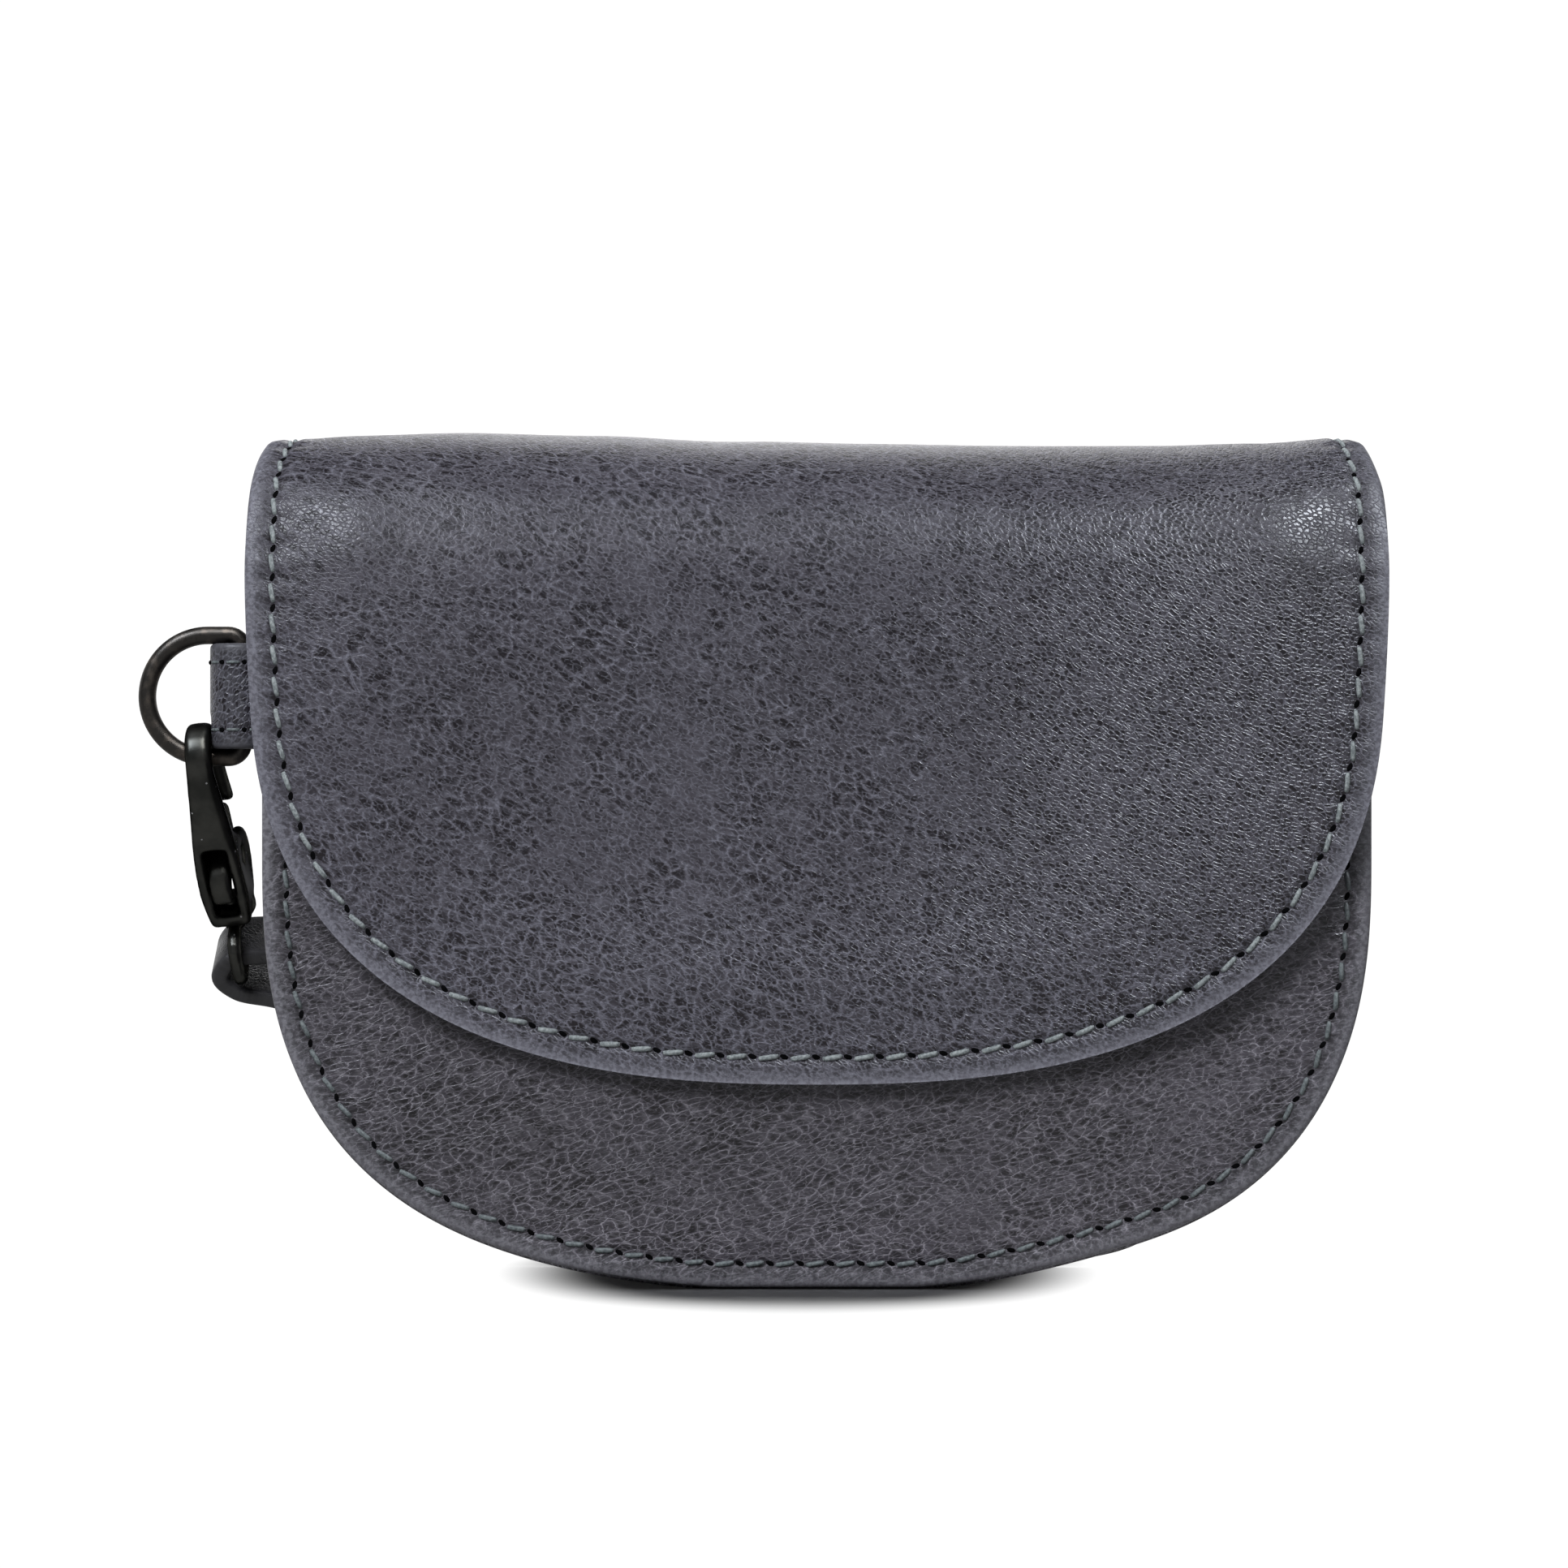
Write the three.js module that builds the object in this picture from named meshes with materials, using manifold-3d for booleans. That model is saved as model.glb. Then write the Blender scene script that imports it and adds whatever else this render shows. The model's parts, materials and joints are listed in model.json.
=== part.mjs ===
import * as THREE from "three";
import { mergeVertices } from "three/addons/utils/BufferGeometryUtils.js";
import Module from "manifold-3d";

const wasm = await Module();
wasm.setup();

// A small leather wristlet that stands on the floor, in millimetres.
// Z is up, the flap faces -Y, and the ring, clasp and wrist loop are on the -X side.

// Pouch outline: straight sides that run into a superellipse at the bottom.
const BAG_HALF_WIDTH = 73.6;
const BAG_ROUND_HEIGHT = 57.7;
const BAG_ROUND_POWER = 2.68;
const BAG_DEPTH = 25;
const PANEL_TOP = 88;
const PANEL_REST = 0.8;
const PANEL_SINK = 0.15;
const REST_FLAT = 0.6;

// Leather thicknesses and the small gap between neighbouring pieces.
const FLAP_LEATHER = 2.3;
const PANEL_LEATHER = 1.8;
const GUSSET_LEATHER = 1.4;
const GAP = 0.3;

// Flap outline and the soft shapes of the three sheets.
const FLAP_HALF_WIDTH = 75;
const FLAP_ROUND_HEIGHT = 57.1;
const FLAP_ROUND_POWER = 2.55;
const FLAP_EDGE_SWEEP = 2.0;
const SHOULDER_FLARE = 0.0115;
const PANEL_PILLOW = 1.7;
const BACK_PILLOW = 1.0;
const OUTLINE_CORNER = THREE.MathUtils.degToRad(52);

// Zones over which those shapes fade in: depths in front of the middle, heights, and
// for the panel's pillow the places beside the middle.
const FRONT_ZONE_START = 5;
const FLAP_ZONES = {
  front: { from: 0, to: 20 },
  top: { from: 94, to: 110 },
  backLow: { from: 4, to: 40 },
  backHigh: { from: 70, to: 104 },
  shoulder: { from: 76, to: 98 },
  overTop: { from: 106, to: 113 },
};
const PANEL_ZONES = {
  beside: { from: 24, to: BAG_HALF_WIDTH - 4 },
  low: { from: 4, to: 32 },
  high: { from: 52, to: PANEL_TOP },
};
const PANEL_PILLOW_LOSS = 0.7;

// Side view of the outer face of back, top fold and flap on the middle line.
const FLAP_PROFILE = [
  { y: 15.1, z: 0 },
  { y: 15.1, z: 30 },
  { y: 15.1, z: 62 },
  { y: 15.0, z: 88 },
  { y: 14.2, z: 100 },
  { y: 11.6, z: 107.5 },
  { y: 7.0, z: 111.8 },
  { y: 2.0, z: 112.9 },
  { y: -4.0, z: 111.6 },
  { y: -10.5, z: 108.6 },
  { y: -16.0, z: 104.3 },
  { y: -19.2, z: 98.0 },
  { y: -20.6, z: 89.0 },
  { y: -21.0, z: 74.0 },
  { y: -21.0, z: 56.0 },
  { y: -20.7, z: 41.0 },
  { y: -20.0, z: 27.4 },
];

// Soft waves of the top fold: how far it stands over or under the middle height.
const TOP_WAVE = [
  { x: -75, lift: 0.4 },
  { x: -62, lift: 1.3 },
  { x: -46, lift: 1.9 },
  { x: -30, lift: 1.1 },
  { x: -10, lift: 0.3 },
  { x: 6, lift: 0 },
  { x: 28, lift: -0.3 },
  { x: 46, lift: 0.0 },
  { x: 60, lift: 0.5 },
  { x: 70, lift: 1.2 },
  { x: 75, lift: 0.7 },
];

// Sewn flanges of the gusset, and the bends of its leather outside and inside.
const FLANGE_WIDTH = 3.8;
const GUSSET_BEND = 1;
const GUSSET_INNER_BEND = 0.4;

// Closing disc.
const SNAP_RADIUS = 6;
const SNAP_HEIGHT = 41;

// Ring and the tab that holds its bar.
const RING_WIRE = 1.22;
const RING_PLANE_Y = 6;
const RING_CENTRE_Z = 79;
const RING_HALF_HEIGHT = 8.35;
const RING_BAR_X = -78.4;
const RING_ARC_X = -83.2;
const RING_CORNER = 2.0;
const TAB_WIDTH = 13.6;
const TAB_LEATHER = 2.4;
const TAB_NECK = 5.0;
const TAB_NECK_BEND = 2;
const TAB_FOLD_ANGLE = 1.28;
const TAB_EYE_ANGLE = 0.9;
const TAB_EYE_POINT = 3.4;
const TAB_DENT_X = -82.0;
const TAB_DENT_Z = 76.2;

// Clasp: place of the ring's wire in the hook, and how the clasp hangs.
const HOOK_WIRE_X = -84.0;
const HOOK_LEAN = THREE.MathUtils.degToRad(30);
const HOOK_SWAY = THREE.MathUtils.degToRad(-7.2);
const HOOK_TWIST = THREE.MathUtils.degToRad(-3);

// Clasp sizes, measured along the clasp from the ring's wire.
const BOW_CENTRE = -0.85;
const BOW_INNER = 2.75;
const BOW_RISE = -0.5;
const BOW_OUTER = 5.0;
const BASE_END = -25.4;
const BASE_FLOOR = -23.6;
const BASE_RADIUS = 3.3;
const SLOT_TOP = -11.8;
const SLOT_HALF = 1.75;
const BOW_HALF_THICK = 1.6;
const BASE_HALF_THICK = 3.2;
const BASE_NARROWING = 0.5;
const HOOK_ZONES = {
  wide: { from: 2, to: 17 },
  narrow: { from: 19, to: -BASE_END },
};
const COLLAR_CHAMFER = 0.9;
const COLLAR_RISE = 1.2;
const COLLAR_STEP = 0.8;

// Side outlines of the hook, as curves in the clasp's own directions, across and along.
const HOOK_FOOT = 3.4;
const HOOK_SPINE = [
  { bend: [[-4.6, -23], [-5.6, -16]], to: [-5.5, -11] },
  { bend: [], to: [-BOW_OUTER, BOW_RISE] },
];
const HOOK_THROAT = [
  { bend: [], to: [-2.6, -9.2] },
  { bend: [[-2.4, -12.0]], to: [0.6, -12.4] },
  { bend: [[3.6, -12.8], [4.9, -14]], to: [4.9, -17] },
  { bend: [[4.9, -20], [4.4, -23]], to: [HOOK_FOOT, BASE_END] },
];

// Lever, its pin and the arc on which gate and hook tip meet.
const PIN_ACROSS = -0.6;
const PIN_ALONG = -15.6;
const PIN_RADIUS = 0.8;
const PIN_HOLE = 1.1;
const PIN_HALF_LENGTH = 2.8;
const GATE_REACH = 7.55;
const GATE_GAP = 0.4;
const GATE_OUTER_EASE = 0.1;
const GATE_INNER_EASE = 0.15;
const LEVER_HALF = 1.45;
const LEVER_OUTLINE = [
  { bend: [[3.0, -11.5], [2.4, -13.2]], to: [0.6, -13.4] },
  { bend: [[-2.2, -13.0]], to: [-3.2, -14.2] },
  { bend: [[-4.4, -14.6], [-6.2, -15.8]], to: [-6.5, -18.0] },
  { bend: [], to: [-5.9, -20.4] },
  { bend: [[-5.3, -21.0]], to: [-4.7, -20.4] },
  { bend: [], to: [-4.3, -18.4] },
  { bend: [[-3.0, -17.6]], to: [-1.4, -18.0] },
  { bend: [[1.2, -18.4], [4.6, -17.6]], to: [5.4, -15.4] },
];

// Swivel.
const POST_RADIUS = 0.9;
const POST_SHOULDER = 1.5;
const POST_HOLE = 1.2;
const HEAD_RADIUS = 1.5;
const HEAD_THICK = 1.0;
const EYE_WIRE = 1.0;
const EYE_HALF_WIDTH = 6.6;
const EYE_TOP = -26.8;
const EYE_BAR = -33.0;
const EYE_CORNER = 2.2;

// Wrist strap.
const STRAP_WIDTH = 10;
const STRAP_LEATHER = 2.4;

// Bend of the wrist loop round the eye's bar: places beside and over the bar's middle.
const STRAP_BEND = [
  { beside: 3.2, over: 2.75 },
  { beside: -0.8, over: 2.6 },
  { beside: -2.75, over: 0.1 },
  { beside: -0.8, over: -2.7 },
];

// Middle line of the wrist loop: under run out to the far bend, upper run back to the eye.
// The turn is how far its width is tipped up towards the back.
const STRAP_RUN = [
  { x: -75, y: 24.2, z: 38.4, turn: 26 },
  { x: -60, y: 24.8, z: 32.5, turn: 18 },
  { x: -40, y: 25.0, z: 18.5, turn: 8 },
  { x: -22, y: 25.0, z: 6.6, turn: 2 },
  { x: -6, y: 25.0, z: 1.4, turn: 0 },
  { x: 14, y: 25.0, z: 1.2, turn: 0 },
  { x: 34, y: 25.0, z: 1.2, turn: 0 },
  { x: 46, y: 25.0, z: 4.4, turn: 0 },
  { x: 51, y: 25.0, z: 11.8, turn: 0 },
  { x: 46, y: 25.0, z: 19.4, turn: 0 },
  { x: 33, y: 25.0, z: 22.8, turn: 0 },
  { x: 8, y: 25.0, z: 27.2, turn: 1 },
  { x: -18, y: 24.8, z: 34.0, turn: 5 },
  { x: -42, y: 24.0, z: 40.6, turn: 13 },
  { x: -62, y: 22.8, z: 44.2, turn: 22 },
];
const STRAP_SECTIONS = 76;

const leather = new THREE.MeshStandardMaterial({
  name: "leather",
  color: 0x4e4d56,
  roughness: 0.6,
  metalness: 0,
});
const ringMetal = new THREE.MeshStandardMaterial({
  name: "ring_metal",
  color: 0x4a4540,
  roughness: 0.35,
  metalness: 1,
});
const claspMetal = new THREE.MeshStandardMaterial({
  name: "clasp_metal",
  color: 0x2a2a2c,
  roughness: 0.3,
  metalness: 1,
});

// Turns a closed surface so that its faces look outwards.
function faceOut(geometry) {
  const p = geometry.getAttribute("position");
  const index = geometry.getIndex().array;
  const a = new THREE.Vector3();
  const b = new THREE.Vector3();
  const c = new THREE.Vector3();
  let volume = 0;
  for (let i = 0; i < index.length; i += 3) {
    a.fromBufferAttribute(p, index[i]);
    b.fromBufferAttribute(p, index[i + 1]);
    c.fromBufferAttribute(p, index[i + 2]);
    volume += a.dot(b.cross(c));
  }
  if (volume < 0) {
    for (let i = 0; i < index.length; i += 3) {
      const held = index[i + 1];
      index[i + 1] = index[i + 2];
      index[i + 2] = held;
    }
  }
  return geometry;
}

// Closed body through cross-sections with equal counts of points.
// An open run is capped by joining the first half of a section with its second half.
function skin(sections, closed) {
  const points = sections.flat();
  const n = sections[0].length;
  const index = [];
  const spans = closed ? sections.length : sections.length - 1;
  for (let j = 0; j < spans; j += 1) {
    const a = j * n;
    const b = ((j + 1) % sections.length) * n;
    for (let i = 0; i < n; i += 1) {
      const k = (i + 1) % n;
      index.push(a + i, a + k, b + k, a + i, b + k, b + i);
    }
  }
  if (!closed) {
    const last = (sections.length - 1) * n;
    for (let i = 0; i < n / 2 - 1; i += 1) {
      const m = n - 1 - i;
      index.push(i, m, m - 1, i, m - 1, i + 1);
      index.push(last + i, last + i + 1, last + m - 1);
      index.push(last + i, last + m - 1, last + m);
    }
  }
  const geometry = new THREE.BufferGeometry().setFromPoints(points);
  geometry.setIndex(index);
  return faceOut(geometry);
}

// Solid for joining and cutting.
function solid(geometry) {
  const plain = geometry.clone();
  plain.deleteAttribute("normal");
  plain.deleteAttribute("uv");
  const merged = mergeVertices(plain, 1e-3);
  const mesh = new wasm.Mesh({
    numProp: 3,
    vertProperties: merged.getAttribute("position").array,
    triVerts: new Uint32Array(merged.getIndex().array),
  });
  return new wasm.Manifold(mesh);
}

function geometryOf(body) {
  const mesh = body.getMesh();
  const geometry = new THREE.BufferGeometry();
  const points = new THREE.BufferAttribute(mesh.vertProperties, 3);
  geometry.setAttribute("position", points);
  geometry.setIndex(new THREE.BufferAttribute(mesh.triVerts, 1));
  return geometry;
}

// Evenly spaced points on a chain of points.
function spaced(points, count) {
  const reach = [0];
  for (let i = 1; i < points.length; i += 1) {
    reach.push(reach[i - 1] + points[i].distanceTo(points[i - 1]));
  }
  const total = reach[reach.length - 1];
  const out = [];
  let k = 1;
  for (let i = 0; i <= count; i += 1) {
    const want = (total * i) / count;
    while (k < points.length - 1 && reach[k] < want) {
      k += 1;
    }
    const part = (want - reach[k - 1]) / (reach[k] - reach[k - 1]);
    out.push(points[k - 1].clone().lerp(points[k], part));
  }
  return out;
}

// Round end of an outline between two angles: x across, y the rise over the lowest point.
function roundEnd(halfWidth, height, power, from, to, flat) {
  const points = [];
  const steps = 48;
  for (let i = 0; i <= steps; i += 1) {
    const t = from + ((to - from) * i) / steps;
    const s = Math.sin(t);
    const c = Math.max(Math.cos(t), 0);
    const x = Math.sign(s) * halfWidth * Math.abs(s) ** (2 / power);
    const rise = height * (1 - c ** (2 / power));
    points.push(new THREE.Vector2(x, Math.max(rise - flat, 0)));
  }
  return points;
}

// Rows of points that fill a four-sided outline smoothly.
function fill(low, high, left, right) {
  const columns = low.length - 1;
  const rows = left.length - 1;
  const out = [];
  for (let j = 0; j <= rows; j += 1) {
    const v = j / rows;
    const row = [];
    for (let i = 0; i <= columns; i += 1) {
      const u = i / columns;
      const p = new THREE.Vector2();
      p.addScaledVector(low[i], 1 - v).addScaledVector(high[i], v);
      p.addScaledVector(left[j], 1 - u).addScaledVector(right[j], u);
      p.addScaledVector(low[0], -(1 - u) * (1 - v));
      p.addScaledVector(low[columns], -u * (1 - v));
      p.addScaledVector(high[0], -(1 - u) * v);
      p.addScaledVector(high[columns], -u * v);
      row.push(p);
    }
    out.push(row);
  }
  return out;
}

// Leather sheet: its outer face is a surface over flat places, its thickness goes inwards.
function sheet(rows, surface, thickness) {
  const step = 0.05;
  const sections = rows.map((row) => {
    const outer = [];
    const inner = [];
    for (const p of row) {
      const across = surface(p.x + step, p.y).sub(surface(p.x - step, p.y));
      const along = surface(p.x, p.y + step).sub(surface(p.x, p.y - step));
      const normal = along.cross(across).normalize();
      const face = surface(p.x, p.y);
      outer.push(face);
      inner.push(face.clone().addScaledVector(normal, -thickness));
    }
    return [...outer, ...inner.reverse()];
  });
  return skin(sections, false);
}

const mirrored = (points) => points.map((p) => new THREE.Vector2(-p.x, p.y));

const within = (zone, place) => THREE.MathUtils.smoothstep(place, zone.from, zone.to);

function topLift(x) {
  let i = 1;
  while (i < TOP_WAVE.length - 1 && TOP_WAVE[i].x < x) {
    i += 1;
  }
  const a = TOP_WAVE[i - 1];
  const b = TOP_WAVE[i];
  const t = THREE.MathUtils.clamp((x - a.x) / (b.x - a.x), 0, 1);
  return a.lift + (b.lift - a.lift) * t * t * (3 - 2 * t);
}

// Back, top fold and flap.
const profileCurve = new THREE.CatmullRomCurve3(
  FLAP_PROFILE.map((p) => new THREE.Vector3(0, p.y, p.z)),
);
profileCurve.arcLengthDivisions = 800;
const profileLength = profileCurve.getLength();

function flapSurface(x, s) {
  const t = THREE.MathUtils.clamp(s / profileLength, 0, 1);
  const p = profileCurve.getPointAt(t);
  const beyond = s - t * profileLength;
  p.z += beyond * (s < 0 ? 1 : -1);
  const across = x / FLAP_HALF_WIDTH;
  const front = within(FLAP_ZONES.front, FRONT_ZONE_START - p.y);
  const top = within(FLAP_ZONES.top, p.z);
  const rise = within(FLAP_ZONES.backLow, p.z);
  const back = (1 - front) * rise * (1 - within(FLAP_ZONES.backHigh, p.z));
  p.y += front * FLAP_EDGE_SWEEP * across ** 4;
  p.y += back * BACK_PILLOW * (1 - across ** 2);
  p.z += top * topLift(x);
  const shoulder = within(FLAP_ZONES.shoulder, p.z);
  const over = 1 - within(FLAP_ZONES.overTop, p.z) / 2;
  p.x = x * (1 + front * shoulder * over * SHOULDER_FLARE);
  return p;
}

function backFlap() {
  const columns = 20;
  const rows = 38;
  const right = Math.PI / 2;
  const corner = OUTLINE_CORNER;
  const bag = (from, to) =>
    roundEnd(BAG_HALF_WIDTH, BAG_ROUND_HEIGHT, BAG_ROUND_POWER, from, to, REST_FLAT);
  const flap = (from, to) => {
    const end = roundEnd(FLAP_HALF_WIDTH, FLAP_ROUND_HEIGHT, FLAP_ROUND_POWER, from, to, 0);
    return end.map((p) => new THREE.Vector2(p.x, profileLength - p.y));
  };
  const low = spaced(bag(-corner, corner), columns);
  const high = spaced(flap(-corner, corner), columns);
  const side = spaced([...bag(corner, right), ...flap(right, corner)], rows);
  return sheet(fill(low, high, mirrored(side), side), flapSurface, FLAP_LEATHER);
}

// Front panel, measured down from its top edge.
const panelFace = -(BAG_DEPTH / 2 + GAP + PANEL_LEATHER);

function panelSurface(x, s) {
  const z = PANEL_TOP - s;
  const across = 1 - within(PANEL_ZONES.beside, Math.abs(x));
  const low = within(PANEL_ZONES.low, z);
  const high = 1 - PANEL_PILLOW_LOSS * within(PANEL_ZONES.high, z);
  return new THREE.Vector3(x, panelFace - PANEL_PILLOW * across * low * high, z);
}

function frontPanel() {
  const columns = 20;
  const rows = 14;
  const right = Math.PI / 2;
  const corner = OUTLINE_CORNER;
  const bag = (from, to) => {
    const end = roundEnd(
      BAG_HALF_WIDTH, BAG_ROUND_HEIGHT, BAG_ROUND_POWER, from, to, PANEL_SINK,
    );
    return end.map((p) => new THREE.Vector2(p.x, PANEL_TOP - Math.max(p.y, PANEL_REST)));
  };
  const top = new THREE.Vector2(BAG_HALF_WIDTH, 0);
  const low = spaced(mirrored([top]).concat([top]), columns);
  const high = spaced(bag(-corner, corner), columns);
  const side = spaced([top, ...bag(right, corner)], rows);
  return sheet(fill(low, high, mirrored(side), side), panelSurface, PANEL_LEATHER);
}

// Gusset: a channel with outward flanges, run round the pouch's outline.
function gusset() {
  const half = BAG_DEPTH / 2;
  const flange = half - GUSSET_LEATHER;
  const deep = FLANGE_WIDTH + GUSSET_LEATHER;
  const section = [
    { inset: 0, y: -half },
    { inset: deep - GUSSET_BEND, y: -half },
    { inset: deep, y: -half + GUSSET_BEND },
    { inset: deep, y: half - GUSSET_BEND },
    { inset: deep - GUSSET_BEND, y: half },
    { inset: 0, y: half },
    { inset: 0, y: flange },
    { inset: FLANGE_WIDTH - GUSSET_INNER_BEND, y: flange },
    { inset: FLANGE_WIDTH, y: flange - GUSSET_INNER_BEND },
    { inset: FLANGE_WIDTH, y: -flange + GUSSET_INNER_BEND },
    { inset: FLANGE_WIDTH - GUSSET_INNER_BEND, y: -flange },
    { inset: 0, y: -flange },
  ];
  const right = Math.PI / 2;
  const round = roundEnd(
    BAG_HALF_WIDTH, BAG_ROUND_HEIGHT, BAG_ROUND_POWER, -right, right, 0,
  );
  const end = new THREE.Vector2(BAG_HALF_WIDTH, PANEL_TOP);
  const steps = 44;
  const path = spaced([...mirrored([end]), ...round, end], steps);
  const sections = path.map((p, i) => {
    const before = path[Math.max(i - 1, 0)];
    const after = path[Math.min(i + 1, steps)];
    const along = after.clone().sub(before).normalize();
    const inwards = new THREE.Vector2(-along.y, along.x);
    return section.map((q) => {
      const at = p.clone().addScaledVector(inwards, q.inset);
      const z = Math.max(at.y - REST_FLAT, 0);
      return new THREE.Vector3(at.x, q.y, i % steps === 0 ? PANEL_TOP : z);
    });
  });
  return skin(sections, false);
}

// Closing disc, in the narrowest room between the flap and the front panel.
function snapButton() {
  let panel = 0;
  let flap = -Infinity;
  for (const up of [-SNAP_RADIUS, 0, SNAP_RADIUS]) {
    const below = SNAP_HEIGHT + up - FLAP_PROFILE[FLAP_PROFILE.length - 1].z;
    panel = Math.min(panel, panelSurface(0, PANEL_TOP - SNAP_HEIGHT - up).y);
    flap = Math.max(flap, flapSurface(0, profileLength - below).y + FLAP_LEATHER);
  }
  const thick = panel - flap - 2 * GAP;
  const disc = new THREE.CylinderGeometry(SNAP_RADIUS, SNAP_RADIUS, thick, 28);
  disc.translate(0, (panel + flap) / 2, SNAP_HEIGHT);
  return disc;
}

// Middle line of the ring, a D with its straight bar on the bag's side.
function ringLine() {
  const path = new THREE.Path();
  const h = RING_HALF_HEIGHT;
  const q = Math.PI / 2;
  const legs = RING_BAR_X - RING_CORNER;
  path.moveTo(RING_BAR_X, -h + RING_CORNER);
  path.lineTo(RING_BAR_X, h - RING_CORNER);
  path.absarc(legs, h - RING_CORNER, RING_CORNER, 0, q, false);
  path.lineTo(RING_ARC_X, h);
  path.absarc(RING_ARC_X, 0, h, q, 3 * q, false);
  path.lineTo(legs, -h);
  path.absarc(legs, -h + RING_CORNER, RING_CORNER, -q, 0, false);
  return path.getPoints(24);
}

// Round wire bent along a closed flat line.
function wireLoop(line, radius, steps, sides, place) {
  const path = spaced([...line, line[0]], steps).slice(0, steps);
  const sections = path.map((p, i) => {
    const before = path[(i + steps - 1) % steps];
    const after = path[(i + 1) % steps];
    const along = after.clone().sub(before).normalize();
    const section = [];
    for (let k = 0; k < sides; k += 1) {
      const a = (2 * Math.PI * (k + 0.5)) / sides;
      const out = radius * Math.cos(a);
      section.push(place(p.x + along.y * out, p.y - along.x * out, radius * Math.sin(a)));
    }
    return section;
  });
  return skin(sections, true);
}

function dRing() {
  const place = (x, z, y) => new THREE.Vector3(x, RING_PLANE_Y + y, RING_CENTRE_Z + z);
  return wireLoop(ringLine(), RING_WIRE, 44, 10, place);
}

// Tab: one strip round the ring's bar, its two ends sewn flat together at the gusset.
function ringTab() {
  const eye = RING_WIRE + GAP;
  const fold = eye + TAB_LEATHER;
  const root = -(BAG_HALF_WIDTH - FLANGE_WIDTH) - GAP;
  const neck = RING_BAR_X + TAB_NECK;
  const turn = 2 * Math.PI;
  const shape = new THREE.Shape();
  shape.moveTo(root, -TAB_LEATHER);
  shape.lineTo(root, TAB_LEATHER);
  shape.lineTo(neck, TAB_LEATHER);
  shape.quadraticCurveTo(
    neck - TAB_NECK_BEND,
    TAB_LEATHER,
    RING_BAR_X + fold * Math.cos(TAB_FOLD_ANGLE),
    fold * Math.sin(TAB_FOLD_ANGLE),
  );
  shape.absarc(RING_BAR_X, 0, fold, TAB_FOLD_ANGLE, turn - TAB_FOLD_ANGLE, false);
  shape.quadraticCurveTo(neck - TAB_NECK_BEND, -TAB_LEATHER, neck, -TAB_LEATHER);
  shape.closePath();
  const hole = new THREE.Path();
  hole.absarc(RING_BAR_X, 0, eye, TAB_EYE_ANGLE, turn - TAB_EYE_ANGLE, false);
  hole.lineTo(RING_BAR_X + TAB_EYE_POINT, 0);
  hole.closePath();
  shape.holes.push(hole);
  const strip = new THREE.ExtrudeGeometry(shape, {
    depth: TAB_WIDTH,
    bevelEnabled: false,
    curveSegments: 18,
  });
  strip.translate(0, RING_PLANE_Y, RING_CENTRE_Z - TAB_WIDTH / 2);
  const dent = new THREE.BoxGeometry(10, 20, 10);
  dent.translate(TAB_DENT_X - 5, RING_PLANE_Y, TAB_DENT_Z - 5);
  return geometryOf(solid(strip).subtract(solid(dent)));
}

// Clasp parts are drawn across and along the clasp, with X through its thickness.
function plate(shape, half, bevel, curveSegments) {
  const body = new THREE.ExtrudeGeometry(shape, {
    depth: 2 * (half - bevel),
    bevelEnabled: bevel > 0,
    bevelThickness: bevel,
    bevelSize: bevel,
    bevelOffset: -bevel,
    bevelSegments: 2,
    curveSegments,
  });
  body.translate(0, 0, -(half - bevel));
  const turn = new THREE.Matrix4();
  turn.makeBasis(
    new THREE.Vector3(0, 1, 0),
    new THREE.Vector3(0, 0, 1),
    new THREE.Vector3(1, 0, 0),
  );
  return body.applyMatrix4(turn);
}

// Runs an outline on along a table of lines and curves.
function follow(outline, curves) {
  for (const { bend, to } of curves) {
    if (bend.length === 2) {
      outline.bezierCurveTo(...bend[0], ...bend[1], ...to);
    } else if (bend.length === 1) {
      outline.quadraticCurveTo(...bend[0], ...to);
    } else {
      outline.lineTo(...to);
    }
  }
}

function rodAcross(radius, length, sides) {
  const rod = new THREE.CylinderGeometry(radius, radius, length, sides);
  rod.rotateZ(Math.PI / 2);
  rod.translate(0, PIN_ACROSS, PIN_ALONG);
  return rod;
}

function rodAlong(profile, sides) {
  const points = profile.map((p) => new THREE.Vector2(p.radius, p.along));
  return new THREE.LatheGeometry(points, sides).rotateX(Math.PI / 2);
}

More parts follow.
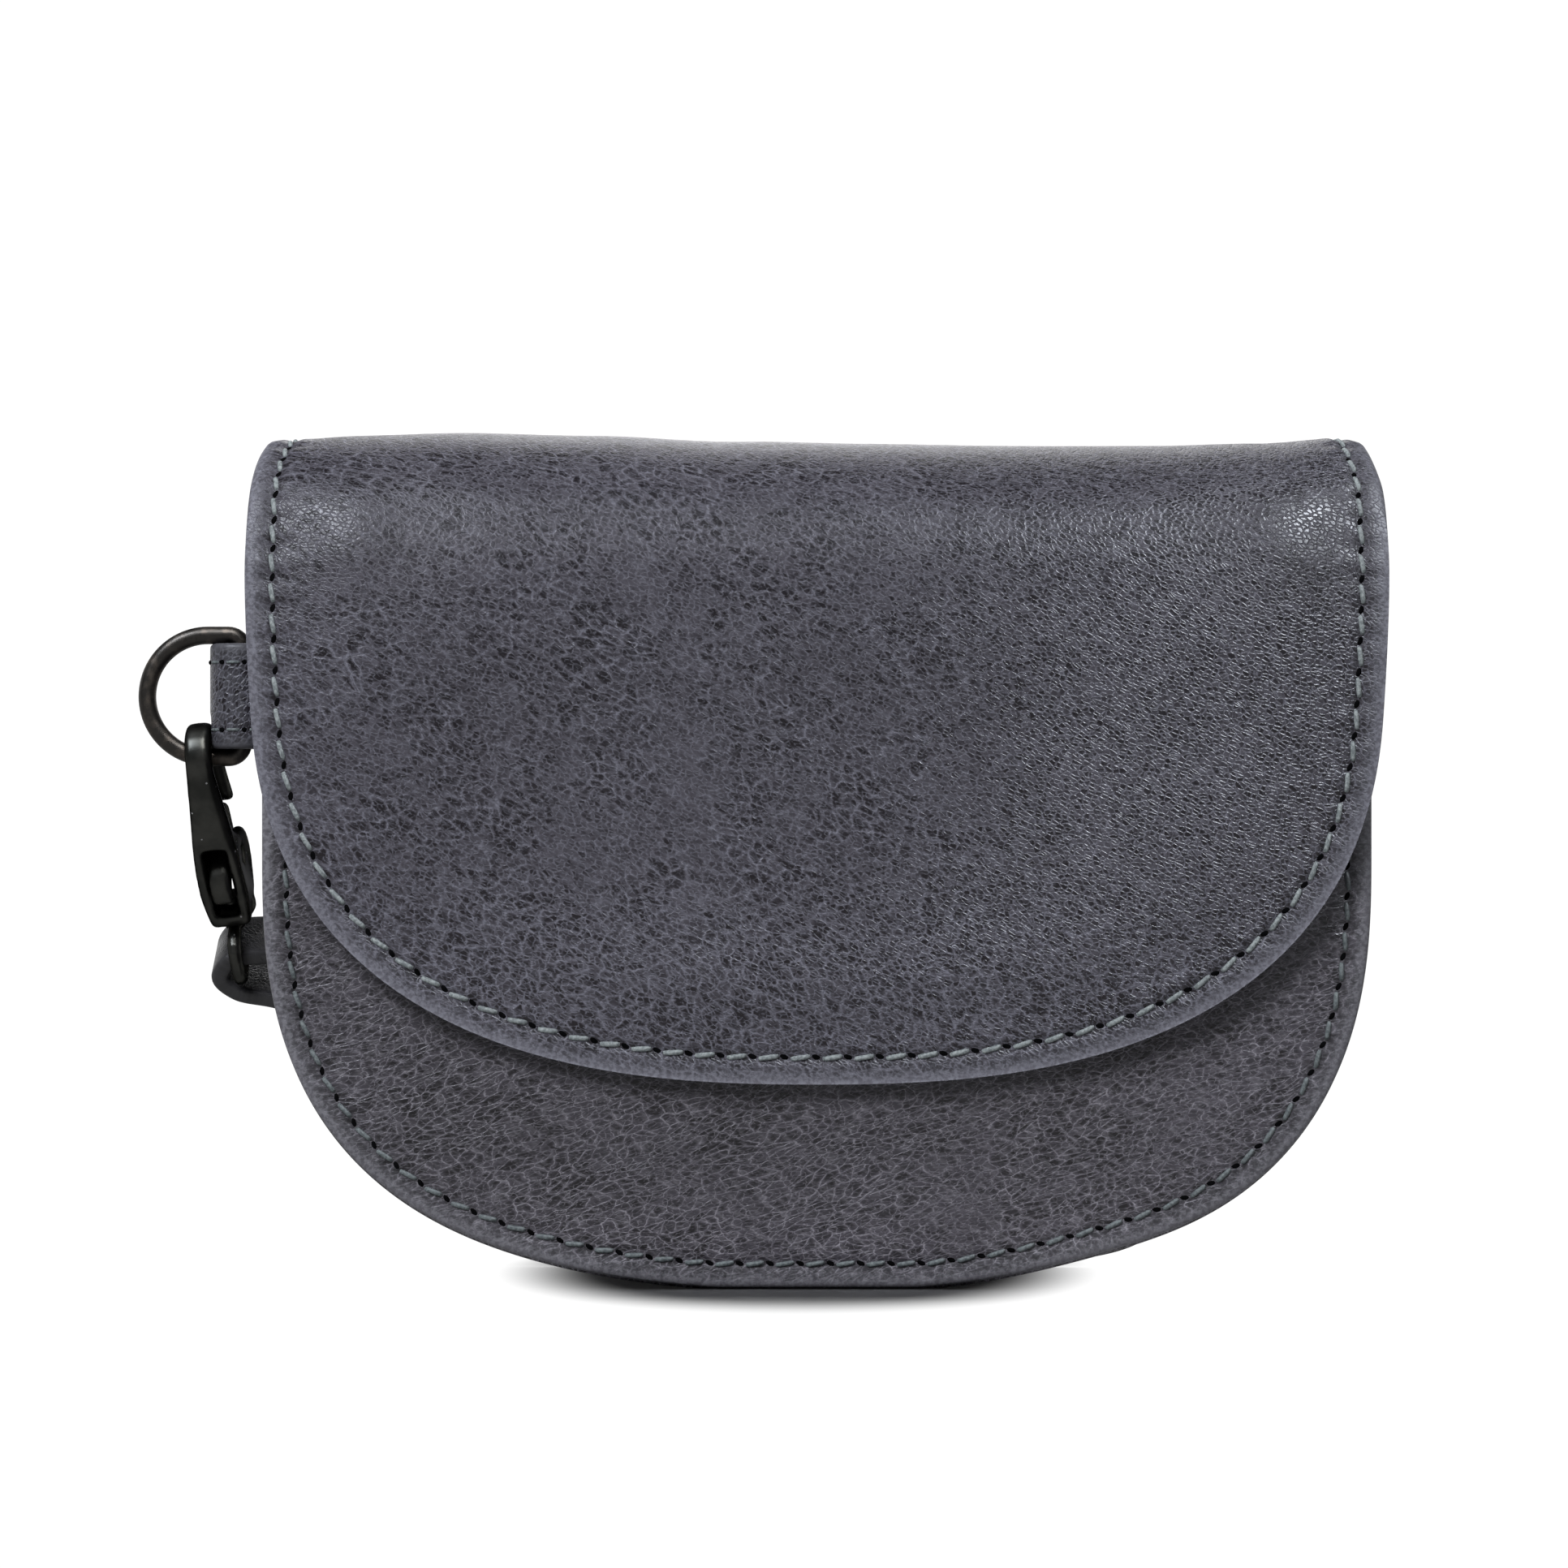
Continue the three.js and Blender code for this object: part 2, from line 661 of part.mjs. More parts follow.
function claspHook() {
  const tip = GATE_REACH + GATE_GAP;
  const outerTip = Math.acos((BOW_OUTER - PIN_ACROSS) / tip);
  const innerTip = Math.acos((BOW_INNER - PIN_ACROSS) / tip);
  const outline = new THREE.Shape();
  outline.moveTo(-HOOK_FOOT, BASE_END);
  follow(outline, HOOK_SPINE);
  outline.absarc(0, BOW_RISE, BOW_OUTER, Math.PI, 0, true);
  outline.absarc(PIN_ACROSS, PIN_ALONG, tip, outerTip, innerTip, false);
  outline.lineTo(BOW_INNER, BOW_CENTRE);
  outline.absarc(0, BOW_CENTRE, BOW_INNER, 0, Math.PI, false);
  follow(outline, HOOK_THROAT);
  const points = outline.getSpacedPoints(64).slice(0, -1);
  const body = plate(new THREE.Shape(points), 1, 0.2, 1);
  const p = body.getAttribute("position");
  for (let i = 0; i < p.count; i += 1) {
    const wide = within(HOOK_ZONES.wide, -p.getZ(i));
    const narrow = BASE_NARROWING * within(HOOK_ZONES.narrow, -p.getZ(i));
    const half = THREE.MathUtils.lerp(BOW_HALF_THICK, BASE_HALF_THICK, wide);
    p.setX(i, p.getX(i) * (half - narrow));
  }
  const collar = rodAlong(
    [
      { radius: 0, along: BASE_END },
      { radius: BASE_RADIUS - COLLAR_CHAMFER, along: BASE_END },
      { radius: BASE_RADIUS, along: BASE_END + COLLAR_CHAMFER },
      { radius: BASE_RADIUS, along: BASE_FLOOR },
      { radius: BASE_RADIUS - COLLAR_STEP, along: BASE_FLOOR + COLLAR_RISE },
      { radius: 0, along: BASE_FLOOR + COLLAR_RISE },
    ],
    20,
  );
  const slot = new THREE.BoxGeometry(2 * SLOT_HALF, 20, SLOT_TOP - BASE_FLOOR);
  slot.translate(0, 0, (SLOT_TOP + BASE_FLOOR) / 2);
  const bore = new THREE.CylinderGeometry(POST_HOLE, POST_HOLE, 8, 16);
  bore.rotateX(Math.PI / 2).translate(0, 0, BASE_END);
  const made = solid(body)
    .add(solid(collar))
    .subtract(solid(slot))
    .subtract(solid(bore))
    .subtract(solid(rodAcross(PIN_HOLE, 20, 16)));
  return geometryOf(made);
}

function claspLever() {
  const outer = Math.acos((BOW_OUTER - GATE_OUTER_EASE - PIN_ACROSS) / GATE_REACH);
  const inner = Math.acos((BOW_INNER + GATE_INNER_EASE - PIN_ACROSS) / GATE_REACH);
  const shape = new THREE.Shape();
  shape.absarc(PIN_ACROSS, PIN_ALONG, GATE_REACH, outer, inner, false);
  follow(shape, LEVER_OUTLINE);
  shape.closePath();
  const points = shape.getSpacedPoints(40).slice(0, -1);
  const body = plate(new THREE.Shape(points), LEVER_HALF, 0.25, 1);
  const made = solid(body).subtract(solid(rodAcross(PIN_HOLE, 20, 16)));
  return geometryOf(made);
}

function leverPin() {
  return rodAcross(PIN_RADIUS, 2 * PIN_HALF_LENGTH, 16);
}

function swivel() {
  const head = BASE_FLOOR + GAP;
  const post = rodAlong(
    [
      { radius: 0, along: EYE_TOP - EYE_WIRE / 2 },
      { radius: POST_SHOULDER, along: EYE_TOP - EYE_WIRE / 2 },
      { radius: POST_SHOULDER, along: BASE_END - GAP },
      { radius: POST_RADIUS, along: BASE_END - GAP },
      { radius: POST_RADIUS, along: head },
      { radius: HEAD_RADIUS, along: head },
      { radius: HEAD_RADIUS - 0.3, along: head + HEAD_THICK },
      { radius: 0, along: head + HEAD_THICK },
    ],
    14,
  );
  const w = EYE_HALF_WIDTH;
  const c = EYE_CORNER;
  const q = Math.PI / 2;
  const line = new THREE.Path();
  line.moveTo(w, EYE_BAR + c);
  line.lineTo(w, EYE_TOP - c);
  line.absarc(w - c, EYE_TOP - c, c, 0, q, false);
  line.lineTo(c - w, EYE_TOP);
  line.absarc(c - w, EYE_TOP - c, c, q, 2 * q, false);
  line.lineTo(-w, EYE_BAR + c);
  line.absarc(c - w, EYE_BAR + c, c, 2 * q, 3 * q, false);
  line.lineTo(w - c, EYE_BAR);
  line.absarc(w - c, EYE_BAR + c, c, -q, 0, false);
  const place = (across, along, thick) => new THREE.Vector3(thick, across, along);
  const eye = wireLoop(line.getPoints(10), EYE_WIRE, 36, 8, place);
  return geometryOf(solid(post).add(solid(eye)));
}

// Where the clasp hangs on the ring's lower arc.
const wireDrop = Math.sqrt(RING_HALF_HEIGHT ** 2 - (HOOK_WIRE_X - RING_ARC_X) ** 2);
const clasp = new THREE.Group();
clasp.position.set(HOOK_WIRE_X, RING_PLANE_Y, RING_CENTRE_Z - wireDrop);
clasp.rotation.set(HOOK_LEAN, HOOK_SWAY, HOOK_TWIST, "YXZ");
const swivelFrame = new THREE.Group();
swivelFrame.position.copy(clasp.position);
swivelFrame.rotation.set(HOOK_LEAN, HOOK_SWAY, 0, "YXZ");
swivelFrame.updateMatrixWorld(true);

function wristStrap() {
  const round = STRAP_BEND.map((r) => {
    const at = new THREE.Vector3(r.beside, 0, EYE_BAR + r.over);
    swivelFrame.localToWorld(at);
    return { x: at.x, y: at.y, z: at.z, turn: THREE.MathUtils.radToDeg(HOOK_LEAN) };
  });
  const rows = [...round, ...STRAP_RUN];
  const line = new THREE.CatmullRomCurve3(
    rows.map((r) => new THREE.Vector3(r.x, r.y, r.z)), true,
  );
  const turns = new THREE.CatmullRomCurve3(
    rows.map((r) => new THREE.Vector3(r.turn, 0, 0)), true,
  );
  const sections = [];
  for (let i = 0; i < STRAP_SECTIONS; i += 1) {
    const t = i / STRAP_SECTIONS;
    const at = line.getPoint(t);
    const along = line.getTangent(t);
    const turn = THREE.MathUtils.degToRad(turns.getPoint(t).x);
    const wide = new THREE.Vector3(0, Math.cos(turn), Math.sin(turn));
    wide.addScaledVector(along, -wide.dot(along)).normalize();
    const thick = along.clone().cross(wide);
    const corners = [[-1, -1], [1, -1], [1, 1], [-1, 1]];
    sections.push(
      corners.map(([a, b]) => {
        const p = at.clone().addScaledVector(wide, (a * STRAP_WIDTH) / 2);
        p.addScaledVector(thick, (b * STRAP_LEATHER) / 2);
        p.z = Math.max(p.z, 0);
        return p;
      }),
    );
  }
  return skin(sections, true);
}

const part = new THREE.Group();
part.name = "wristlet";
const body = new THREE.Group();
part.add(body);

function piece(name, geometry, material, parent = body) {
  const mesh = new THREE.Mesh(geometry, material);
  mesh.name = name;
  parent.add(mesh);
}

piece("back_flap", backFlap(), leather);
piece("front_panel", frontPanel(), leather);
piece("gusset", gusset(), leather);
piece("snap_button", snapButton(), claspMetal);
piece("ring_tab", ringTab(), leather);
piece("d_ring", dRing(), ringMetal);
piece("wrist_strap", wristStrap(), leather);
body.add(clasp, swivelFrame);
piece("clasp_hook", claspHook(), claspMetal, clasp);
piece("clasp_lever", claspLever(), claspMetal, clasp);
piece("lever_pin", leverPin(), claspMetal, clasp);
piece("swivel", swivel(), claspMetal, swivelFrame);

// The frame's origin is the middle of the footprint, on the floor.
part.updateMatrixWorld(true);
const box = new THREE.Box3().setFromObject(part, true);
const middle = box.getCenter(new THREE.Vector3());
body.position.set(-middle.x, -middle.y, -box.min.z);
part.updateMatrixWorld(true);

export default part;
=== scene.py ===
import json
import math

import bmesh
import bpy
import numpy as np
from mathutils import Matrix, Vector


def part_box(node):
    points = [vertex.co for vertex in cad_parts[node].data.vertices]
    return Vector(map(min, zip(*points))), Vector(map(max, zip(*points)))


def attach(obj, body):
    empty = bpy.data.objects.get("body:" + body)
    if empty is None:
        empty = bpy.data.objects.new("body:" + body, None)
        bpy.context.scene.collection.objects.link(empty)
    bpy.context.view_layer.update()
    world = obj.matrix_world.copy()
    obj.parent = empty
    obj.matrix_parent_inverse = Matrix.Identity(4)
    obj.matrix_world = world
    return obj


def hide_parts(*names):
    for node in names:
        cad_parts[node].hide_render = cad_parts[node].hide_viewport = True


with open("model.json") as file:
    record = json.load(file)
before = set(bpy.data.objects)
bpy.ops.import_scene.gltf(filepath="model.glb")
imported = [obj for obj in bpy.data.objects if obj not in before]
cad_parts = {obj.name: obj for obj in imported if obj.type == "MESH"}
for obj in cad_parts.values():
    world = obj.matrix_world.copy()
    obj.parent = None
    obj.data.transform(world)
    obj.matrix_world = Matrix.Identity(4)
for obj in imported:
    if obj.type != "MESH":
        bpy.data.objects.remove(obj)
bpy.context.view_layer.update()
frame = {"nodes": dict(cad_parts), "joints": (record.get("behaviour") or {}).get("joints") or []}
nodes = frame["nodes"]
mm = 0.001

# the bag's own middle: the gusset is even about it, and all sizes below are millimetres from there
gussetLow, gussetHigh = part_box("gusset")
bagMiddle = (gussetLow + gussetHigh) / 2
bag = {
    "halfWidth": (gussetHigh.x - gussetLow.x) / 2 / mm,
    "depth": (gussetHigh.y - gussetLow.y) / mm,
    "top": gussetHigh.z / mm,
    "roundHeight": 57.7,
    "roundPower": 2.68,
    "settle": [(37.0, 1.15, 16.0), (-36.0, 0.46, 20.0)],
    "restFlat": 0.6,
    "gap": 0.3,
}


def toFrame(points):
    return np.asarray(points) * mm + np.array([bagMiddle.x, bagMiddle.y, 0])


def smooth(low, high, x):
    t = np.clip((x - low) / (high - low), 0, 1)
    return t * t * (3 - 2 * t)


def hump(x, width):
    return np.exp(-((x / width) ** 2))


def reachOf(points):
    steps = np.linalg.norm(np.diff(points, axis=0), axis=1)
    return np.concatenate([[0], np.cumsum(steps)])


def evenly(points, count):
    reach = reachOf(points)
    want = np.linspace(0, reach[-1], count)
    return np.stack([np.interp(want, reach, c) for c in points.T], 1)


# smooth line through a few points, with the point spacing's square root as its pace
def smoothLine(points, steps, closed=False):
    p = np.array(points, float)
    if closed:
        p = np.vstack([p[-1:], p, p[:2]])
    else:
        p = np.vstack([2 * p[0] - p[1], p, 2 * p[-1] - p[-2]])
    t = np.linspace(0, 1, steps, endpoint=False)[:, None]
    runs = []
    for a, b, c, d in zip(p, p[1:], p[2:], p[3:]):
        pace = [max(np.linalg.norm(j - i), 1e-6) ** 0.5 for i, j in ((a, b), (b, c), (c, d))]
        leave = (b - a) / pace[0] - (c - a) / (pace[0] + pace[1]) + (c - b) / pace[1]
        arrive = (c - b) / pace[1] - (d - b) / (pace[1] + pace[2]) + (d - c) / pace[2]
        leave, arrive = leave * pace[1], arrive * pace[1]
        cubic = 2 * b - 2 * c + leave + arrive
        square = -3 * b + 3 * c - 2 * leave - arrive
        runs.append(b + leave * t + square * t**2 + cubic * t**3)
    if not closed:
        runs.append(p[-2:-1])
    return np.vstack(runs)


# round end of an outline: x across, rise over its lowest point
def roundEnd(halfWidth, height, power, steps=240):
    t = np.linspace(-math.pi / 2, math.pi / 2, steps)
    across = np.sign(np.sin(t)) * halfWidth * np.abs(np.sin(t)) ** (2 / power)
    rise = height * (1 - np.maximum(np.cos(t), 0) ** (2 / power))
    return across, rise


# the pouch's lower outline, a little higher beside its foot: where, how much and how wide
def pouchEnd():
    x, rise = roundEnd(bag["halfWidth"], bag["roundHeight"], bag["roundPower"])
    for place, lift, width in bag["settle"]:
        rise = rise + lift * hump(x - place, width)
    return x, rise


def finishMesh(bm, name, body="bag"):
    mesh = bpy.data.meshes.new(name)
    bm.to_mesh(mesh)
    bm.free()
    mesh.shade_smooth()
    made = bpy.data.objects.new(name, mesh)
    bpy.context.scene.collection.objects.link(made)
    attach(made, body)
    return made


weld = {"merge": 0.004, "sliver": 0.002}


# a flat grid whose points are laid on a shape; place gives each point's spot and its spot in the flat hide
def layGrid(name, columns, rows, place):
    bm = bmesh.new()
    bmesh.ops.create_grid(bm, x_segments=columns, y_segments=rows, size=0.5)
    u, v = np.array([(p.co.x + 0.5, p.co.y + 0.5) for p in bm.verts]).T
    spots, hide = place(np.rint(u * columns).astype(int), np.rint(v * rows).astype(int))
    layer = bm.verts.layers.float_vector.new("hide")
    for point, spot, flat in zip(bm.verts, toFrame(spots), hide):
        point.co = spot
        point[layer] = flat
    bmesh.ops.remove_doubles(bm, verts=bm.verts, dist=weld["merge"] * mm)
    bmesh.ops.dissolve_degenerate(bm, edges=bm.edges, dist=weld["sliver"] * mm)
    bmesh.ops.recalc_face_normals(bm, faces=bm.faces)
    return finishMesh(bm, name)


# cut edges, broken a little
def breakEdges(bm, edges, width, segments):
    bmesh.ops.bevel(
        bm, geom=edges, offset=width, offset_type="OFFSET", affect="EDGES",
        segments=segments, profile=0.5, material=-1,
    )


def faceAndNormal(surface, flat, step=0.3):
    x, s = flat[:, 0], flat[:, 1]
    across = surface(x + step, s) - surface(x - step, s)
    along = surface(x, s + step) - surface(x, s - step)
    normal = np.cross(along, across)
    normal /= np.linalg.norm(normal, axis=1)[:, None]
    return surface(x, s), normal


# rows of points across a sheet, as insets from its rim, and the form of its sewn line;
# a pucker's columns are its place inside the seam, its width, its swell and its dip at the holes
sheetRows = {
    "lipTurn": 22.5, "fineStep": 0.35, "fineTo": 5.3, "wide": (5.8, 6.5, 7.4, 8.5, 9.6), "far": 11.0,
    "outerSteps": 24, "innerSteps": 10, "innerEdge": (7.5, 4.5, 2.6),
}
sewnForm = {
    "grooveWide": 0.75, "holeShare": 0.3, "wavesFrom": 3.0, "wavesTo": 16.0,
    "puckers": [(-1.5, 0.9, 0.45, 0.55), (1.6, 1.1, 0.3, 0.5)],
}


# a leather sheet cut to a closed outline, with a rounded lip and a sewn line inside it
class LeatherSheet:
    def __init__(self, look, outline, surface, waves, slack):
        self.look = look
        self.surface = surface
        self.waves = waves
        self.slack = slack
        self.count = look["columns"]
        self.loop = evenly(np.vstack([outline, outline[:1]]), self.count + 1)[:-1]
        along = np.roll(self.loop, -1, 0) - np.roll(self.loop, 1, 0)
        along /= np.linalg.norm(along, axis=1)[:, None]
        self.inward = np.stack([-along[:, 1], along[:, 0]], 1)
        low, high = look["spine"]
        spine = np.clip(self.loop[:, 1], low, high)
        spine = (spine + spine[-np.arange(self.count)]) / 2  # both halves meet on the middle line
        self.spine = np.stack([np.zeros(self.count), spine], 1)
        sewn = self.loop + self.inward * look["seamInset"]
        line = surface(sewn[:, 0], sewn[:, 1])
        self.reach = reachOf(np.vstack([line, line[:1]]))
        self.stitches = round(self.reach[-1] / look["pitch"])

    # rows from the middle of the inner face, round the lip, to the middle of the outer face:
    # share of the way to the spine, inset from the rim, depth under the outer face
    def rows(self):
        thick = self.look["leather"]
        r = thick / 2
        far, step = sheetRows["far"], sheetRows["fineStep"]
        turns = np.radians(np.arange(-90, 91, sheetRows["lipTurn"]))
        lip = [(0, r - r * math.cos(a), r - r * math.sin(a)) for a in turns]
        fine = [(0, inset, 0) for inset in np.arange(r + step, sheetRows["fineTo"], step)]
        wide = [(0, inset, 0) for inset in (*sheetRows["wide"], far)]
        outer = [(share, far, 0) for share in np.linspace(0, 1, sheetRows["outerSteps"] + 1)[1:]]
        inner = [(share, far, thick) for share in np.linspace(1, 0, sheetRows["innerSteps"] + 1)]
        edge = [(0, inset, thick) for inset in sheetRows["innerEdge"]]
        return np.array(inner + edge + lip + fine + wide + outer)

    # how far the outer face stands over its plain form
    def relief(self, flat, rim, hole):
        look = self.look
        off = rim - look["seamInset"]
        deep = 1 - sewnForm["holeShare"] * (1 - hole)
        lift = -look["groove"] * deep * hump(off, sewnForm["grooveWide"])
        for place, width, swell, dip in sewnForm["puckers"]:
            lift = lift + look["pucker"] * (swell - dip * hole) * hump(off - place, width)
        puff = look["puff"] * (smooth(0, look["puffReach"], off) - 1) * self.slack(flat[:, 1])
        calm = smooth(sewnForm["wavesFrom"], sewnForm["wavesTo"], rim)
        return lift + puff + self.waves(flat[:, 0], flat[:, 1]) * calm

    def holeWave(self, reach):
        return np.cos(2 * math.pi * self.stitches * reach / self.reach[-1])

    def build(self, name):
        rows = self.rows()
        r = self.look["leather"] / 2

        def place(column, row):
            i = column % self.count
            share, inset, depth = rows[row].T
            border = self.loop[i] + self.inward[i] * inset[:, None]
            flat = border + (self.spine[i] - border) * share[:, None]
            rim = inset + share * np.linalg.norm(self.spine[i] - border, axis=1)
            face, normal = faceAndNormal(self.surface, flat)
            outer = np.clip(1 - depth / r, 0, 1)
            lift = self.relief(flat, rim, self.holeWave(self.reach[i])) * outer - depth
            spots = face + normal * lift[:, None]
            spots[:, 2] = np.maximum(spots[:, 2], self.look["rest"])
            side = np.where(depth > r * 1.5, -rim, rim)
            return spots, np.column_stack([flat, side])

        return layGrid(name, self.count, len(rows) - 1, place)

    # places on the sewn line, or aside of it towards the rim, and their outward normals
    def onSeam(self, reach, aside=0.0):
        at = np.interp(reach % self.reach[-1], self.reach, np.arange(self.count + 1))
        i = np.floor(at).astype(int) % self.count
        j = (i + 1) % self.count
        part = (at - np.floor(at))[:, None]
        inset = self.look["seamInset"] - aside
        loop = self.loop + self.inward * inset
        flat = loop[i] * (1 - part) + loop[j] * part
        face, normal = faceAndNormal(self.surface, flat)
        lift = self.relief(flat, np.full(len(flat), inset), self.holeWave(reach))
        return face + normal * lift[:, None], normal


# sewing: plump threads from hole to hole, and the slanted slits that they go into, near-black as painted
# shade in the holes
threadForm = {"sides": 8, "rings": 7, "blunt": 0.32, "rise": 0.5, "dive": 1.2}
slitForm = {"sides": 8, "rings": 5}


def addThread(bm, start, end, up, radius):
    half = (end - start) / 2
    side = up.cross(half).normalized()
    made = bmesh.ops.create_uvsphere(
        bm, u_segments=threadForm["sides"], v_segments=threadForm["rings"], radius=1,
    )
    for v in made["verts"]:
        girth = math.hypot(v.co.x, v.co.y)
        fat = radius * girth ** (threadForm["blunt"] - 1) if girth > 1e-3 else 0
        lift = v.co.y * fat + radius * (threadForm["rise"] - threadForm["dive"] * v.co.z**6)
        v.co = (start + end) / 2 + half * v.co.z + side * (v.co.x * fat) + up * lift


def addSlit(bm, place, along, up, thread):
    side = up.cross(along).normalized()
    long, wide, deep = [thread[k] * mm for k in ("slitLong", "slitWide", "slitDeep")]
    axes = Matrix((along.normalized() * long, side * wide, up * deep)).transposed().to_4x4()
    axes.translation = place
    bmesh.ops.create_uvsphere(
        bm, u_segments=slitForm["sides"], v_segments=slitForm["rings"], radius=1, matrix=axes,
    )


def sew(name, sheet, first, last, thread):
    pitch = sheet.reach[-1] / sheet.stitches
    holes = np.arange(first, last + 1) * pitch
    begin, normal = sheet.onSeam(holes[:-1] + thread["start"], thread["slant"])
    end, _ = sheet.onSeam(holes[1:] - thread["stop"], -thread["slant"])
    middle, up = sheet.onSeam(holes)
    outer, _ = sheet.onSeam(holes + thread["start"] / 2, thread["slant"])
    threads = bmesh.new()
    for a, b, n in zip(toFrame(begin), toFrame(end), normal):
        addThread(threads, Vector(a), Vector(b), Vector(n), thread["radius"] * mm)
    slits = bmesh.new()
    for m, o, n in zip(toFrame(middle), toFrame(outer), up):
        addSlit(slits, Vector(m), Vector(o) - Vector(m), Vector(n), thread)
    return finishMesh(threads, name + "_thread"), finishMesh(slits, name + "_painted_shade_slits")


# back, top fold and flap; the profile's columns are depth and height, the top wave's are place and lift
flap = {
    "leather": 2.3,
    "halfWidth": 75.0,
    "roundHeight": 57.1,
    "roundPower": 2.55,
    "turnY": 5.0,
    "turnOver": 20.0,
    "edgeSweep": 2.0,
    "flare": 0.0115,
    "flareZ": (76, 98),
    "drawn": 0.5,
    "drawnX": (-60, 60),
    "drawnZ": (106, 113),
    "backPillow": 1.0,
    "pillowLow": (4, 40),
    "pillowHigh": (70, 104),
    "profile": [
        (15.1, 0), (15.1, 30), (15.1, 62), (15.0, 88), (14.2, 100), (11.6, 107.5), (7.0, 111.8),
        (2.0, 112.9), (-4.0, 111.6), (-10.5, 108.6), (-16.0, 104.3), (-19.2, 98.0), (-20.6, 89.0),
        (-21.0, 74.0), (-21.0, 56.0), (-20.7, 41.0), (-20.0, 27.4),
    ],
    "topWave": [
        (-75, 0.9), (-62, 1.4), (-46, 1.9), (-30, 1.7), (-10, 0.6), (6, 0.2), (28, 0.1), (46, 0.1),
        (60, 0.5), (70, 1.2), (75, 0.7),
    ],
    "waveZ": (94, 110),
    "columns": 1120,
    "seamInset": 3.5,
    "pitch": 4.2,
    "groove": 0.42,
    "pucker": 0.2,
    "puff": 1.3,
    "puffReach": 12.0,
    "foldTight": 0.9,
    "foldZ": (98, 108),
    "sway": 0.16,
    "ripple": 0.1,
    "bulge": 0.7,
    "shoulderX": 61.0,
    "shoulderZ": 99.0,
    "shoulderWide": 7.0,
    "shoulderHigh": 8.0,
    "rest": 0.0,
}
profileLine = smoothLine(flap["profile"], 60)
profileReach = reachOf(profileLine)
flapLength = profileReach[-1]
flap["spine"] = (flap["roundHeight"], flapLength - flap["roundHeight"])


# depth and height of the sheet at a run along its profile
def profileAt(s):
    return [np.interp(s, profileReach, c) for c in profileLine.T]


# 0 behind the fold to 1 on the front
def frontShare(y):
    return smooth(0, flap["turnOver"], flap["turnY"] - y)


def topLift(x):
    places, lifts = np.array(flap["topWave"]).T
    i = np.clip(np.searchsorted(places, x), 1, len(places) - 1)
    t = smooth(places[i - 1], places[i], x)
    return lifts[i - 1] + (lifts[i] - lifts[i - 1]) * t


def flapSurface(x, s):
    t = np.clip(s, 0, flapLength)
    y, z = profileAt(t)
    z = z - np.abs(s - t)
    across = x / flap["halfWidth"]
    front = frontShare(y)
    back = (1 - front) * smooth(*flap["pillowLow"], z) * (1 - smooth(*flap["pillowHigh"], z))
    lift = smooth(*flap["waveZ"], z) * topLift(x)
    y = y + front * flap["edgeSweep"] * across**4 + back * flap["backPillow"] * (1 - across**2)
    z = z + lift
    drawn = flap["drawn"] * smooth(*flap["drawnZ"], z) * smooth(*flap["drawnX"], x)
    wide = front * smooth(*flap["flareZ"], z) * (1 - drawn) * flap["flare"]
    return np.stack([x * (1 + wide), y, z], -1)


# slow sways of the soft sheet, a smaller ripple, and a full place at each end of the shoulder
def flapWaves(x, s):
    y, z = profileAt(s)
    sway = flap["sway"] * np.sin(x / 15 + s / 31) * np.sin(s / 19 - 1.1)
    ripple = flap["ripple"] * np.sin(x / 8.5 - s / 23 + 0.7)
    beside = hump(np.abs(x) - flap["shoulderX"], flap["shoulderWide"])
    bulge = beside * hump(z - flap["shoulderZ"], flap["shoulderHigh"]) * frontShare(y)
    return sway + ripple + flap["bulge"] * bulge


# the margin is drawn tight over the fold
def flapSlack(s):
    return 1 - flap["foldTight"] * smooth(*flap["foldZ"], profileAt(s)[1])


def flapOutline():
    x, rise = pouchEnd()
    back = np.stack([x, np.maximum(rise - bag["restFlat"], 0)], 1)
    x, rise = roundEnd(flap["halfWidth"], flap["roundHeight"], flap["roundPower"])
    front = np.stack([-x, flapLength - rise], 1)
    half = len(back) // 2
    return np.vstack([[(0, 0)], back[half:], front, back[:half]])


flapSheet = LeatherSheet(flap, flapOutline(), flapSurface, flapWaves, flapSlack)
backFlap = flapSheet.build("back_flap_leather")
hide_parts("back_flap")
flapThread = {
    "radius": 0.37, "start": 0.8, "stop": 0.6, "slant": -0.24,
    "slitLong": 0.92, "slitWide": 0.44, "slitDeep": 0.13,
}
flapSewing, flapSlits = sew("flap_seam", flapSheet, 0, flapSheet.stitches, flapThread)
print("flap", len(backFlap.data.polygons), "faces,", flapSheet.stitches, "stitches")

# front panel, measured down from its top edge
panel = {
    "leather": 1.8,
    "rest": 0.2,
    "sink": 0.15,
    "pillow": 1.7,
    "pillowX": 24,
    "pillowEdge": 4,
    "pillowLow": (4, 32),
    "pillowHigh": 52,
    "pillowDrop": 0.7,
    "sway": 0.1,
    "columns": 960,
    "spine": (30.3, 30.3),
    "seamInset": 3.2,
    "pitch": 4.0,
    "groove": 0.3,
    "pucker": 0.16,
    "puff": 0.25,
    "puffReach": 7.0,
}
panelFace = -(bag["depth"] / 2 + bag["gap"] + panel["leather"])


def panelSurface(x, s):
    z = bag["top"] - s
    across = 1 - smooth(panel["pillowX"], bag["halfWidth"] - panel["pillowEdge"], np.abs(x))
    drop = panel["pillowDrop"] * smooth(panel["pillowHigh"], bag["top"], z)
    swell = across * smooth(*panel["pillowLow"], z) * (1 - drop)
    return np.stack([x, panelFace - panel["pillow"] * swell, z], -1)


def panelWaves(x, s):
    return panel["sway"] * np.sin(x / 13 - s / 17) * np.sin(s / 11 + 0.4)


